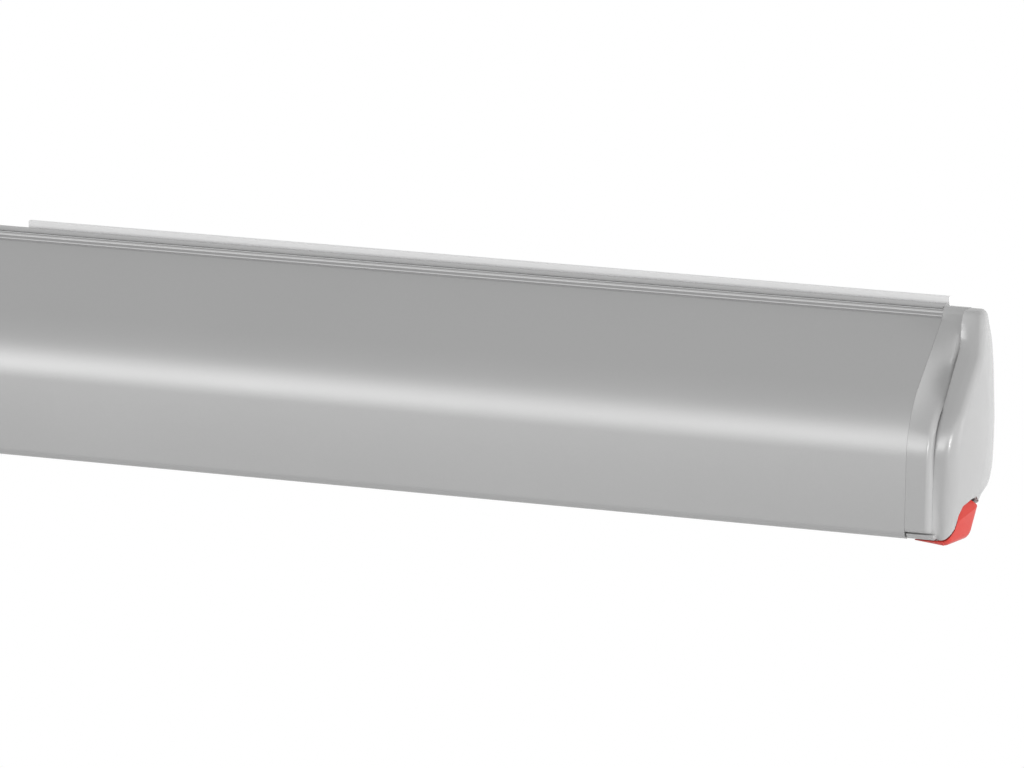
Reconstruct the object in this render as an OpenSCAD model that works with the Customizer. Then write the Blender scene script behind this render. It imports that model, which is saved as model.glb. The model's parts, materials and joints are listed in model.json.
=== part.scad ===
// Cassette roll-out awning for a camper: spring roller, sliding front rail,
// folding telescopic legs, stowed rafters, end caps with release levers.
// Side views are drawn with the distance out from the wall to the right and
// the height above the underside upwards; the wall is the plane y = 0.

/* [Awning] */
// Half length of the two extrusions, from the middle to the cap seam
half_length = 893; // [700:1:1100]
// Distance from the wall to the front of the belly
belly_depth = 90; // [90:1:96]
// Wall thickness of the extrusions
skin = 2; // [1.6:0.1:2.4]

/* [Front rail] */
// Slope of the upper front face, down from level
upper_slope = 41.1; // [39:0.1:43]
// Slope of the lower front face, down from level
lower_slope = 85.7; // [84:0.1:88]
// Radius of the bend between both faces
bend_r = 48; // [40:1:52]
// Radius of the round edge under the belly
belly_edge_r = 4; // [3:0.5:5]

/* [Roller] */
// Radius of the roller tube
tube_r = 20; // [18:0.5:21]
// Wall of the roller tube
tube_wall = 1.6; // [1.2:0.1:2.4]
// Radius of the wound canopy
roll_r = 27; // [25:0.5:27.5]
// Radius of the journals that the roller turns on
journal_r = 6; // [5:0.1:6.5]
// Running clearance around a journal
journal_play = 0.06; // [0.03:0.01:0.1]
// Turns of the return spring in the tube
spring_turns = 20; // [12:1:24]

/* [End caps] */
// How far the dome of the end cap reaches past the seam
cap_reach = 28.8; // [28:0.2:31]
// How far the domed face falls back on the wall side
cap_fall = 10.6; // [9:0.2:11]
// Wall of the moulded caps
cap_wall = 2.4; // [2:0.1:3]

/* [Legs] */
// Thickness of a leg tube
leg_t = 9; // [8:0.1:9.2]
// Height of a leg tube
leg_h = 20; // [17:0.5:20]
// Length of the outer leg tube
leg_outer_l = 960; // [700:5:1000]
// How much shorter the inner leg tube is
leg_inner_cut = 60; // [50:5:200]
// Wall of the leg tubes
leg_wall = 1; // [0.8:0.1:1.2]

/* [Rafters] */
// Radius of the outer rafter tube
rafter_r = 5.5; // [5:0.1:5.6]
// Length of a rafter tube
rafter_l = 1000; // [700:5:1010]

/* [Wall brackets] */
// Length of one wall bracket
bracket_l = 515; // [400:5:600]
// Distance between the two rows of wall screws
row_gap = 28; // [24:1:28]
// Distance from a bracket end to its column of screws
column_inset = 60; // [40:1:90]
// Radius of a wall screw hole
wall_hole_r = 3.3; // [2.6:0.1:4.3]

/* [Release lever] */
// Radius of the lever pin
lever_pin_r = 2; // [1.5:0.1:2.5]
// Gap around the lever in its pocket
lever_gap = 0.7; // [0.5:0.1:0.9]

/* [Hidden] */
$fn = 48;

// Heights above the underside
top_z = 112;
face_top_z = 106;
edge_z = 8;
bolt_z = 67;

// Roller axis
roll_d = 40;
roll_z = 48;

// Front face of the rail: slope, bend and belly
face_top = [belly_depth - 51.8, face_top_z];
face_end = [belly_depth, edge_z];
down_upper = [cos(upper_slope), -sin(upper_slope)];
down_lower = [cos(lower_slope), -sin(lower_slope)];
in_upper = [-sin(upper_slope), -cos(upper_slope)];
in_lower = [-sin(lower_slope), -cos(lower_slope)];
span = face_end - face_top;
upper_run = (span[0] * down_lower[1] - span[1] * down_lower[0])
          / (down_upper[0] * down_lower[1] - down_upper[1] * down_lower[0]);
bend_tip = face_top + upper_run * down_upper;
bend_run = bend_r * tan((lower_slope - upper_slope) / 2);
bend_c = bend_tip - bend_run * down_upper + bend_r * in_upper;
bend_steps = 12;

function arc(c, r, from, to, n) =
    [for (i = [0:n]) let (t = from + (to - from) * i / n) c + r * [cos(t), sin(t)]];
function flip(p) = [for (i = [len(p) - 1:-1:0]) p[i]];
// Front face from top to bottom, moved in by k
function front_face(k) = concat(
    [face_top + k * in_upper],
    arc(bend_c, bend_r - k, 90 - upper_slope, 90 - lower_slope, bend_steps),
    [face_end + k * in_lower]);

// Lanes in the front rail
lane_back = belly_depth - 25;
lane_wall = 1.4;
lane_roof = 29;
roof_t = 1.6;
leg_z = 17.5;
leg_front_d = belly_depth - 9.1;
leg_back_d = belly_depth - 20;
divider_d = belly_depth - 15;
divider_t = 0.9;
keder_at = [belly_depth - 27, roll_z + roll_r];
keder_r = 3.2;
keder_wall = 1.8;
keder_web_l = 3.2;
keder_web_t = 2.4;
slot_w = 1.6;
rafter_low = [belly_depth - 10.8, 37.2];
rafter_high = [belly_depth - 13, 50];
port_r = 3.6;
port_hole_r = 1.7;
rail_ports = [[belly_depth - 22, 33.6]];

// Moulding above the front face: groove, bead, cove, ridge and lip, from its lower edge
moulding = [[-0.9, 0.6], [-0.2, 1.2], [-0.4, 1.7], [-1.8, 2.6], [-1.9, 3.9],
            [-1.1, 4.6], [-2.3, 4.9], [-2.3, 5.2], [-1, 5.4], [-1.6, top_z - face_top_z]];
moulding_t = 4.4;
flange_t = 1.6;

// Seam to the caps
rail_cap_t = 12.8;
cap_rim = 13.6;
rail_back_d = belly_depth - 30;
flange_d = 29;

// Case
back_d = 9;
case_top_z = 103;
floor_c = [25, 34];
floor_r = 16;
floor_slope = 12;
floor_front_d = 62;
floor_steps = 10;
upstand_t = 1.6;
upstand_h = 6;
case_ports = [[14.2, 80], [24.6, 97.2], [17, 25.5], [56, 15]];
roof_front_d = 28.6;
seal_wall = 1.6;
seal_low_z = 97;
rib_d = 13;
rib_t = 2.4;
rib_h = 2.8;
case_screw_z = 91;
case_screw_r = 2;
case_head_r = 3.8;
case_head_h = 2.4;

// Wall brackets
plate_t = 4;
plate_low_z = 40;
hook_top_z = 108.4;
lip_top_z = 113.4;
pad_low_z = 87.4;
rest_h = 5;
hook_t = 2.4;
hook_d = 20;
lip_low_z = case_top_z + 0.2;
lip_over = 12;
bracket_end = half_length - 3;
bracket_start = bracket_end - bracket_l;
screw_columns = [bracket_start + column_inset, bracket_end - column_inset];
screw_rows = [bolt_z - row_gap / 2, bolt_z + row_gap / 2];

// Draws a side view along the length, from x0 to x1
module bar(x0, x1) {
    translate([x1, 0, -bolt_z]) rotate([90, 0, -90]) linear_extrude(x1 - x0) children();
}
// Places a cylinder along the length at a side-view point
module rod(x0, x1, at, r) {
    bar(x0, x1) translate(at) circle(r);
}
module ring(x0, x1, at, r, hole) {
    bar(x0, x1) translate(at) difference() {
        circle(r);
        circle(hole);
    }
}
// Cylinders out from the wall at all the case screws, from d0 to d1
module case_screw_rods(d0, d1, r) {
    for (s = [-1, 1], x = screw_columns)
        translate([s * x, -d0, case_screw_z - bolt_z]) rotate([90, 0, 0]) cylinder(h = d1 - d0, r = r);
}
// Draws its right-hand child for the side: 1 right, -1 left
module on_side(side) {
    if (side > 0) children();
    else mirror([1, 0, 0]) children();
}

// Front rail section
module top_moulding() {
    under = top_z - flange_t;
    back = face_top[0] - moulding_t;
    polygon(concat(
        [face_top + skin * in_upper, face_top],
        [for (m = moulding) face_top + m],
        [[flange_d, top_z], [flange_d, under], [back, under], [back, face_top_z + 1]]));
}
module rail_skin() {
    polygon(concat(front_face(0), flip(front_face(skin))));
    intersection() {
        translate([face_end[0] - belly_edge_r, edge_z]) difference() {
            circle(belly_edge_r);
            circle(belly_edge_r - skin);
        }
        translate([face_end[0] - belly_edge_r, 0]) square([belly_edge_r, edge_z]);
    }
    translate([face_end[0] - skin, edge_z - 0.4]) square([skin - 0.01, 0.4]);
}
module rail_lanes() {
    translate([lane_back - lane_wall, lane_roof]) square([belly_depth - 3 - lane_back + lane_wall, roof_t]);
    translate([lane_back - lane_wall, edge_z]) square([lane_wall, lane_roof - edge_z + roof_t]);
    translate([divider_d, lane_roof - 5]) square([divider_t, 5.5]);
}
module keder_groove() {
    difference() {
        union() {
            translate(keder_at) circle(keder_r + keder_wall);
            translate(keder_at) rotate(90 - upper_slope) translate([keder_r, -keder_web_t / 2])
                square([keder_web_l, keder_web_t]);
        }
        translate(keder_at) circle(keder_r);
        translate(keder_at) translate([-keder_r - 4, -slot_w / 2]) square([keder_r + 4, slot_w]);
    }
}
module ports(at) {
    for (p = at) translate(p) circle(port_r);
}
module port_holes(at) {
    for (p = at) translate(p) circle(port_hole_r);
}
module lead_rail() {
    color("gainsboro") bar(-half_length, half_length) difference() {
        union() {
            top_moulding();
            rail_skin();
            rail_lanes();
            keder_groove();
            ports(rail_ports);
        }
        port_holes(rail_ports);
    }
}

// Case section
module case_floor() {
    run = (floor_front_d - floor_c[0]) / cos(floor_slope) + 4;
    along = [cos(floor_slope), -sin(floor_slope)];
    down = [-sin(floor_slope), -cos(floor_slope)];
    front = floor_c + run * along + floor_r * down;
    low = 270 - floor_slope;
    polygon(concat(
        arc(floor_c, floor_r, 180, low, floor_steps), [front, front - skin * down],
        arc(floor_c, floor_r - skin, low, 180, floor_steps)));
    translate([front[0] - upstand_t, front[1] + 0.4]) square([upstand_t, upstand_h]);
}
module case_section() {
    difference() {
        union() {
            translate([back_d, floor_c[1]]) square([skin, case_top_z - floor_c[1]]);
            translate([back_d, case_top_z - skin]) square([roof_front_d - back_d, skin]);
            translate([roof_front_d - seal_wall, seal_low_z]) square([seal_wall, case_top_z - seal_low_z]);
            translate([rib_d, case_top_z - 1]) square([rib_t, rib_h + 1]);
            case_floor();
            ports(case_ports);
        }
        port_holes(case_ports);
    }
}
module case_profile() {
    color("silver") difference() {
        bar(-half_length, half_length) case_section();
        case_screw_rods(0, back_d + skin + 1, case_screw_r);
    }
}

// Wall brackets: a plate with two ribs and a hook over the case
module wall_bracket(side) {
    color("whitesmoke") on_side(side) difference() {
        union() {
            bar(bracket_start, bracket_end - lip_over) {
                translate([0, plate_low_z]) square([plate_t, hook_top_z - plate_low_z]);
                translate([0, plate_low_z]) square([back_d, rest_h]);
                translate([0, pad_low_z]) square([back_d, case_top_z - pad_low_z]);
                translate([0, hook_top_z - hook_t]) square([hook_d, hook_t]);
            }
            bar(bracket_start, bracket_end)
                translate([hook_d - hook_t, lip_low_z]) square([hook_t, lip_top_z - lip_low_z]);
        }
        for (x = screw_columns, z = screw_rows)
            translate([x, 1, z - bolt_z]) rotate([90, 0, 0]) cylinder(h = plate_t + 2, r = wall_hole_r);
        case_screw_rods(-1, back_d + 1, case_screw_r);
    }
}
// Screws that hold the case on the brackets, from inside the case
module case_screws() {
    color("dimgray") {
        case_screw_rods(1, back_d + skin, case_screw_r);
        case_screw_rods(back_d + skin, back_d + skin + case_head_h, case_head_r);
    }
}

// Outlines as closed lists, anticlockwise in the side view
function inset(p, t) = [for (i = [0:len(p) - 1])
    let (n = len(p), v = p[(i + 1) % n] - p[(i + n - 1) % n], m = [-v[1], v[0]] / norm(v)) p[i] + t * m];
// Arc of radius b[2] in the corner b between its neighbours
function corner(a, b, c, n) =
    let (p = [b[0], b[1]], u = [a[0], a[1]] - p, v = [c[0], c[1]] - p,
         e = u / norm(u), f = v / norm(v), g = acos(e * f) / 2,
         m = (e + f) / norm(e + f), o = p + b[2] / sin(g) * m,
         s = p + b[2] / tan(g) * e - o, t = p + b[2] / tan(g) * f - o,
         w = atan2(s[0] * t[1] - s[1] * t[0], s * t))
    [for (i = [0:n]) let (k = w * i / n) o + [s[0] * cos(k) - s[1] * sin(k), s[0] * sin(k) + s[1] * cos(k)]];
function rounded(c, n) = [for (i = [0:len(c) - 1])
    each corner(c[(i + len(c) - 1) % len(c)], c[i], c[(i + 1) % len(c)], n)];
// A side view as a ring in space, x past the seam
function flat_ring(p, x) = [for (q = p) [half_length + x, -q[0], q[1] - bolt_z]];
// Skin over the rings, with a flat face on both ends
module loft(rings) {
    n = len(rings[0]);
    last = len(rings) - 1;
    polyhedron(
        points = [for (r = rings) each r],
        faces = concat(
            [[for (i = [n - 1:-1:0]) i]],
            [for (k = [0:last - 1], i = [0:n - 1], h = [0, 1])
                let (a = k * n + i, b = k * n + (i + 1) % n) h == 0 ? [a, b, b + n] : [a, b + n, a + n]],
            [[for (i = [0:n - 1]) last * n + i]]),
        convexity = 6);
}

// End plates: trays that carry the roller and the end caps
plate_front_d = rail_back_d - 0.6;
plate_out = [[9.6, 34], [12.4, 24], [20, 18.4], [plate_front_d, 11.2],
             [plate_front_d, 60], [28, 91.4], [28, 104], [25, 104], [9.6, 90]];
plate_floor = 4;
tray_wall = 2.4;
bush_r = 9;
cap_bosses = [[20, 88], [20, 62], [51, 35]];
boss_r = 4;
plate_screw_r = 2;
module end_plate(side) {
    color("slategray") on_side(side) difference() {
        bar(half_length, half_length + cap_rim) polygon(plate_out);
        bar(half_length + plate_floor, half_length + cap_rim + 1) polygon(inset(plate_out, tray_wall));
        rod(half_length - 1, half_length + plate_floor + 1, [roll_d, roll_z], bush_r);
        for (p = concat(case_ports, cap_bosses))
            rod(half_length - 1, half_length + plate_floor + 1, p, plate_screw_r);
        for (p = case_ports) rod(half_length + plate_floor, half_length + cap_rim + 1, p, port_r);
    }
}
module side_screw(at, head_x, length) {
    rod(head_x - length, head_x, at, port_hole_r);
    rod(head_x, head_x + 2.4, at, port_r - 0.2);
}
// Screws of the end plates into the case, and of the end caps onto the plates
module plate_screws() {
    color("dimgray") for (s = [-1, 1], p = case_ports)
        on_side(s) side_screw(p, half_length + plate_floor, 16);
}
module cap_screws() {
    color("dimgray") for (s = [-1, 1], p = cap_bosses) on_side(s) {
        rod(half_length, half_length + 12, p, port_hole_r);
        rod(half_length - 1.6, half_length, p, port_r - 0.2);
    }
}

// Outer end cap: straight flank with an ogee front, domed face. Each corner is [d, z, radius]
cap_c = [belly_depth - 46.5, 60];
cap_back_d = 13;
cap_top_d = belly_depth - 40;
cap_front_d = belly_depth - 5.5;
cap_steps = 5;
cap_out = rounded([
    [cap_back_d, 27, 12], [belly_depth - 37, 19.6, 5], [belly_depth - 29, 0.9, 6],
    [cap_front_d, 0.9, 6], [cap_front_d - 0.5, 56.9, 45], [cap_top_d, 92.1, 20],
    [cap_top_d, top_z, 10], [belly_depth - 56, top_z, 8], [cap_back_d, 93, 10]], cap_steps);
cap_edge_r = 3.2;
dome_d = belly_depth - 33;
dome_z = 60;
dome_sag = 0.0013;
function dome_x(q) =
    cap_reach - cap_fall * pow((q[0] - dome_d) / (dome_d - cap_back_d), 2) - dome_sag * pow(q[1] - dome_z, 2);
groove_r = 2.4;
// Part of the way up the flank, from the rim to the round edge
function flank_ring(p, share) = [for (q = p)
    [half_length + cap_rim + share * (dome_x(q) - cap_edge_r - cap_rim), -q[0], q[1] - bolt_z]];
function dome_ring(p, drop) = [for (q = p) [half_length + dome_x(q) - drop, -q[0], q[1] - bolt_z]];
function shrunk(p, s) = [for (q = p) cap_c + s * (q - cap_c)];
dome_scales = [1, 0.82, 0.6, 0.36, 0.16];
tip_scale = 0.05;
// The dome over an outline, ended by a small flat tip
function dome(p, drop) = concat(
    [for (s = dome_scales) dome_ring(shrunk(p, s), drop)],
    [flat_ring(shrunk(p, tip_scale), dome_x(cap_c) - drop)]);
cap_outer = concat(
    [flat_ring(inset(cap_out, groove_r), cap_rim), flank_ring(inset(cap_out, 0.2 * groove_r), 0.4)],
    [for (a = [0:30:60]) dome_ring(inset(cap_out, cap_edge_r * (1 - cos(a))), cap_edge_r * (1 - sin(a)))],
    dome(inset(cap_out, cap_edge_r), 0));
cap_inner = concat(
    [flat_ring(inset(cap_out, groove_r + cap_wall), cap_rim)],
    dome(inset(cap_out, cap_edge_r + cap_wall), cap_wall));
module cap_shell() {
    loft(concat(flip(cap_inner), cap_outer));
}
module cap_block() {
    loft(cap_outer);
}

// Release lever: red skin at the front corner of the cap, with an arm inside back to its spring
lever_at = [62, 15];
lever_x = cap_rim + 2;
arm_x = lever_x + 5;
low_z = -8;
high_d = 98;
lever_edge = [[96, 2.2], [84.5, 2.8], [82, 5.7], [78.9, 8.4],
              [76.7, 15.1], [73.5, 19.2], [65.3, 20.9], [60.6, 20.9]];
lever_out = concat([[54, low_z], [96, low_z]], lever_edge, [[55.5, 16.5]]);
arm_top_z = 24.4;
arm_out = [[40, 21.4], [52, 20], [60, 8], [66, 8], [66, 20], [58, 21], [50, arm_top_z], [40, arm_top_z]];
// Room around the skin, and around the arm behind the face of the cap
skin_room = concat(
    [[53.4, low_z], [high_d, low_z]],
    [for (p = lever_edge) p + lever_gap * [0.5, 1.3]], [[59.9, 22.2], [54.3, 17.4]]);
seat_z = 31;
seat_t = 1.6;
arm_room = [[36, low_z], [high_d, low_z], [high_d, 3.4], [84.9, 4], [82.7, 6.9], [79.6, 9.6],
            [77.4, 16.2], [74, 20.8],
            [66, 23.6], [55, seat_z], [36, seat_z]];
web_out = [[40, 22], [53, 21], [61, 3.4], [84, 3.4], [84, 8.4], [75.6, 12.6], [72.4, 20],
           [62, seat_z + seat_t], [40, seat_z + seat_t]];
lip_out = [[72, 6.9], [78, 4.6], [85, 4.6], [87, 6.9]];
tongue_out = [[71, 3.6], [75, 1.2], [83, 1.2], [85.5, 3.6]];
slot_out = [[67, low_z], [high_d, low_z], [high_d, 4.2], [67, 4.2]];
spring_d = 45;
seat_half = 5;
lever_side_gap = 0.6;
lip_inset = 0.4;
past_cap = 60;
cap_face_x = half_length + lever_x - lever_side_gap;
module end_cap(side) {
    color("lightgray") on_side(side) {
        difference() {
            union() {
                cap_shell();
                for (p = cap_bosses)
                    ring(half_length + plate_floor, half_length + dome_x(p - [boss_r, 0]) - 1,
                         p, boss_r, port_hole_r);
                bar(half_length + cap_rim, cap_face_x) polygon(web_out);
                bar(half_length + lip_inset, cap_face_x) polygon(lip_out);
                bar(half_length + cap_rim, half_length + arm_x)
                    translate([spring_d - seat_half, seat_z]) square([2 * seat_half, seat_t]);
            }
            bar(cap_face_x, half_length + arm_x + lever_side_gap) polygon(arm_room);
            bar(cap_face_x, half_length + past_cap) polygon(skin_room);
            bar(half_length, half_length + lever_x) polygon(slot_out);
            rod(half_length + cap_rim - 1, half_length + lever_x, lever_at, lever_pin_r);
        }
    }
}
pin_out = 4.4;
module lever_pin(side) {
    color("dimgray") on_side(side)
        rod(half_length + cap_rim, half_length + lever_x + pin_out, lever_at, lever_pin_r);
}
tongue_inset = 3.5;
tongue_lap = 2;
module lever(side) {
    color("red") on_side(side) difference() {
        union() {
            intersection() {
                cap_block();
                bar(half_length + lever_x, half_length + past_cap) polygon(lever_out);
            }
            bar(half_length + tongue_inset, half_length + lever_x + tongue_lap) polygon(tongue_out);
            bar(half_length + lever_x, half_length + arm_x) polygon(arm_out);
        }
        rod(half_length + lever_x - 1, half_length + arm_x, lever_at, lever_pin_r + journal_play);
    }
}

// A coil as one tube along +z, from z = 0 to height h
coil_rings = 8;
coil_sides = 6;
module coil(r, wire, turns, h) {
    pitch = (h - 2 * wire) / turns;
    echo(coil_gap = pitch - 2 * wire);
    steps = turns * coil_rings;
    points = [for (k = [0:steps], j = [0:coil_sides - 1])
        let (t = 360 * k / coil_rings, u = 360 * j / coil_sides, q = r + wire * cos(u))
        [q * cos(t), q * sin(t), wire + pitch * k / coil_rings + wire * sin(u)]];
    n = coil_sides;
    polyhedron(points, concat(
        [[for (j = [0:n - 1]) j]],
        [for (k = [0:steps - 1], j = [0:n - 1])
            let (a = k * n + j, b = k * n + (j + 1) % n) [a, a + n, b + n, b]],
        [[for (j = [n - 1:-1:0]) steps * n + j]]));
}
spring_seat_gap = 0.05;
spring_in = 2.4;
lever_coil_r = 1.7;
lever_wire = 0.35;
lever_turns = 4;
lever_spring_z = arm_top_z + spring_seat_gap;
lever_spring_h = seat_z - spring_seat_gap - lever_spring_z;
module lever_spring(side) {
    color("gold") on_side(side)
        translate([half_length + lever_x + spring_in, -spring_d, lever_spring_z - bolt_z])
            coil(lever_coil_r, lever_wire, lever_turns, lever_spring_h);
}

// End caps of the front rail
rail_cap_low_z = 7.6;
rail_corner_r = 2.3;
face_steps = 8;
dense_face = concat(
    [for (i = [0:face_steps - 1]) face_top + (upper_run - bend_run) * i / face_steps * down_upper],
    arc(bend_c, bend_r, 90 - upper_slope, 90 - lower_slope, bend_steps),
    [face_end - 6 * down_lower]);
function bell(z, middle, width) = exp(-pow((z - middle) / width, 2));
// Draws the front face in around one height and out above it, by the shares h and b
function waved(p, h, b) =
    [for (q = p) [q[0] - 11.5 * h * bell(q[1], 79.5, 11) + 4.5 * b * bell(q[1], 103, 7), q[1]]];
function rail_cap_out(h, b) = concat(
    [[rail_back_d, rail_cap_low_z]],
    arc([belly_depth - 0.2 - rail_corner_r, rail_cap_low_z + rail_corner_r], rail_corner_r, 270, 355, 3),
    waved(flip(dense_face), h, b),
    [[face_top[0] - 1, face_top_z + 3], [face_top[0] - 1.6, top_z - 0.6], [face_top[0] - 2.4, top_z]],
    [[flange_d, top_z], [flange_d, 122 - flange_d], [rail_back_d, 122 - rail_back_d]]);
// Each station is [x past the seam, inset, share of the dip, share of the bulge]
rail_cap_stations = [[0, 0, 0, 0], [rail_cap_t - 6.4, 0.2, 0.6, 0.7], [rail_cap_t - 2.8, 0.7, 0.95, 1],
                     [rail_cap_t - 0.8, 1.6, 1, 1], [rail_cap_t, 2.8, 1, 1]];
rail_head_x = 6;
rail_head_h = 2.6;
peg_l = 14;
module rail_cap(side) {
    color("darkgray") on_side(side) difference() {
        union() {
            loft([for (s = rail_cap_stations) flat_ring(inset(rail_cap_out(s[2], s[3]), s[1]), s[0])]);
            rod(half_length - peg_l, half_length + 1, keder_at, keder_r - 0.3);
        }
        for (p = rail_ports) {
            rod(half_length - 1, half_length + rail_head_x + 1, p, port_hole_r + 0.2);
            rod(half_length + rail_head_x, half_length + cap_rim, p, port_r + 0.2);
        }
    }
}
module rail_cap_screws() {
    color("dimgray") for (s = [-1, 1], p = rail_ports) on_side(s) {
        rod(half_length - 14, half_length + rail_head_x, p, port_hole_r);
        rod(half_length + rail_head_x, half_length + rail_head_x + rail_head_h, p, port_r - 0.2);
    }
}

// Roller: tube, plugs, journals, return spring and wound canopy
tube_end = half_length - 6;
plug_l = 34;
plug_gap = 0.5;
bush_flange_r = 12;
bush_flange_t = 1.5;
roller_at = [roll_d, roll_z];
canopy_end = half_length - 25;
arbor_r = 4;
arbor_end = half_length - 420;
spring_start = half_length - 400;
spring_end = half_length - 60;
spring_r = 9;
spring_wire = 1.1;
anchor_l = 12;
module roller_tube() {
    color("lightsteelblue") ring(-tube_end, tube_end, roller_at, tube_r, tube_r - tube_wall);
}
module roller_plug(side) {
    hole = side > 0 ? journal_r : journal_r + journal_play;
    color("black") on_side(side) {
        ring(tube_end - plug_l, tube_end, roller_at, tube_r - tube_wall, hole);
        ring(tube_end, half_length - bush_flange_t - plug_gap, roller_at, tube_r, hole);
    }
}
module roller_journal() {
    color("dimgray") rod(tube_end - plug_l, half_length + 8, roller_at, journal_r);
}
module roller_bush(side) {
    color("ivory") on_side(side) {
        ring(half_length, half_length + 6, roller_at, bush_r, journal_r + journal_play);
        ring(half_length - bush_flange_t, half_length, roller_at, bush_flange_r, journal_r + journal_play);
    }
}
// Fixed arbor on the left, which the return spring is wound against
module spring_arbor() {
    color("dimgray") on_side(-1) {
        rod(tube_end - plug_l - 2, half_length + 6, roller_at, journal_r);
        rod(arbor_end, tube_end - plug_l - 2, roller_at, arbor_r);
        rod(half_length + 6, half_length + 10, roller_at, bush_r - 0.5);
    }
}
module spring_anchor() {
    color("black") on_side(-1)
        ring(spring_start - anchor_l, spring_start, roller_at, tube_r - tube_wall, arbor_r + 0.3);
}
module return_spring() {
    color("gold") on_side(-1) translate([spring_start, -roll_d, roll_z - bolt_z]) rotate([0, 90, 0])
        coil(spring_r, spring_wire, spring_turns, spring_end - spring_start);
}
module canopy_roll() {
    color("steelblue") ring(-canopy_end, canopy_end, roller_at, roll_r, tube_r);
}
// Canopy between the roll and the rail: a sheet that ends in a bead
sheet_t = 0.5;
sheet_start_d = roll_d + 6;
module canopy_sheet() {
    color("steelblue") bar(-canopy_end, canopy_end) {
        translate([sheet_start_d, keder_at[1] - sheet_t / 2]) square([keder_at[0] - sheet_start_d, sheet_t]);
        translate(keder_at) circle(keder_r - 0.2);
    }
}
// Rubber lip on the case, under the top of the rail
seal_reach = 6;
seal_tip_z = 104.6;
seal_tip_t = 1.2;
module top_seal() {
    tip = roof_front_d + seal_reach;
    color("black") bar(-half_length, half_length) polygon([[roof_front_d, seal_low_z + 1], [tip, seal_tip_z],
        [tip, seal_tip_z + seal_tip_t], [roof_front_d, seal_low_z + 4]]);
}

// Legs: bracket, pin, knuckle, two tubes, lock and foot
pivot_x = half_length - 40;
eye_r = 8.6;
eye_t = 6;
cheek_t = 1.3;
cheek_gap = 0.25;
leg_pin_r = 2.5;
tube_start = pivot_x - 20;
outer_end = tube_start - leg_outer_l;
slide_gap = 0.3;
lock_l = 12;
inner_end = outer_end - lock_l - 4;
foot_pin_x = inner_end - 6;
foot_l = 22;
foot_w = leg_t - 2 * (leg_wall + slide_gap);
foot_eye_r = 4;
foot_pin_r = 1.5;
foot_neck_h = 6.4;
foot_pad_t = 5;
tongue_t = 2.4;
tip_plug_l = 16;
tube_corner_r = 1.8;
tube_bore_r = tube_corner_r - leg_wall / 2;
module rounded(w, h, r) {
    square([w - 2 * r, h], center = true);
    square([w, h - 2 * r], center = true);
    for (x = [-1, 1], y = [-1, 1]) translate([x * (w / 2 - r), y * (h / 2 - r)]) circle(r);
}
module leg_tube(x0, x1, d, w, h, wall) {
    bar(x0, x1) translate([d, leg_z]) difference() {
        rounded(w, h, tube_corner_r);
        rounded(w - 2 * wall, h - 2 * wall, tube_bore_r);
    }
}
// Cylinder across the rail, about a leg's pivot or foot
module cross(x, d, r, t) {
    translate([x, -d + t / 2, leg_z - bolt_z]) rotate([90, 0, 0]) cylinder(h = t, r = r);
}
module leg_bracket(side, d) {
    far = eye_t / 2 + cheek_gap;
    color("slategray") on_side(side) difference() {
        union() {
            for (s = [-1, 1]) bar(pivot_x - 9, pivot_x + 9)
                translate([d + s * (far + cheek_t / 2) - cheek_t / 2, 9]) square([cheek_t, lane_roof - 9]);
            bar(pivot_x - 9, pivot_x + 9) translate([d - far - cheek_t, lane_roof - 1.4])
                square([2 * (far + cheek_t), 1.4]);
        }
        cross(pivot_x, d, leg_pin_r, 40);
    }
}
module leg_pin(side, d) {
    color("dimgray") on_side(side) cross(pivot_x, d, leg_pin_r, eye_t + 2 * cheek_gap + 2 * cheek_t);
}
module leg_knuckle(side, d) {
    inner_w = leg_t - 2 * leg_wall;
    inner_h = leg_h - 2 * leg_wall;
    color("black") on_side(side) difference() {
        union() {
            cross(pivot_x, d, eye_r, eye_t);
            bar(tube_start - 0.5, pivot_x) translate([d - eye_t / 2, leg_z - 6]) square([eye_t, 12]);
            bar(tube_start - 26, tube_start) translate([d, leg_z]) rounded(inner_w, inner_h, tube_bore_r);
        }
        cross(pivot_x, d, leg_pin_r + journal_play, 40);
    }
}
module leg_outer(side, d) {
    color("lightgray") on_side(side) leg_tube(outer_end, tube_start, d, leg_t, leg_h, leg_wall);
}
module leg_inner(side, d) {
    w = leg_t - 2 * (leg_wall + slide_gap);
    h = leg_h - 2 * (leg_wall + slide_gap);
    far_end = inner_end + leg_outer_l - leg_inner_cut;
    color("silver") on_side(side) leg_tube(inner_end, far_end, d, w, h, leg_wall);
}
// Collar on the end of the outer tube, with a thumb screw below
module leg_lock(side, d) {
    w = leg_t - 2 * leg_wall;
    h = leg_h - 2 * leg_wall;
    color("black") on_side(side) {
        bar(outer_end - lock_l, outer_end) translate([d, leg_z]) difference() {
            rounded(leg_t, leg_h, tube_corner_r);
            rounded(w, h, tube_bore_r);
        }
        translate([outer_end - lock_l / 2, -d, leg_z - leg_h / 2 - 2.6 - bolt_z]) cylinder(h = 3, r = 4);
    }
}
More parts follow.
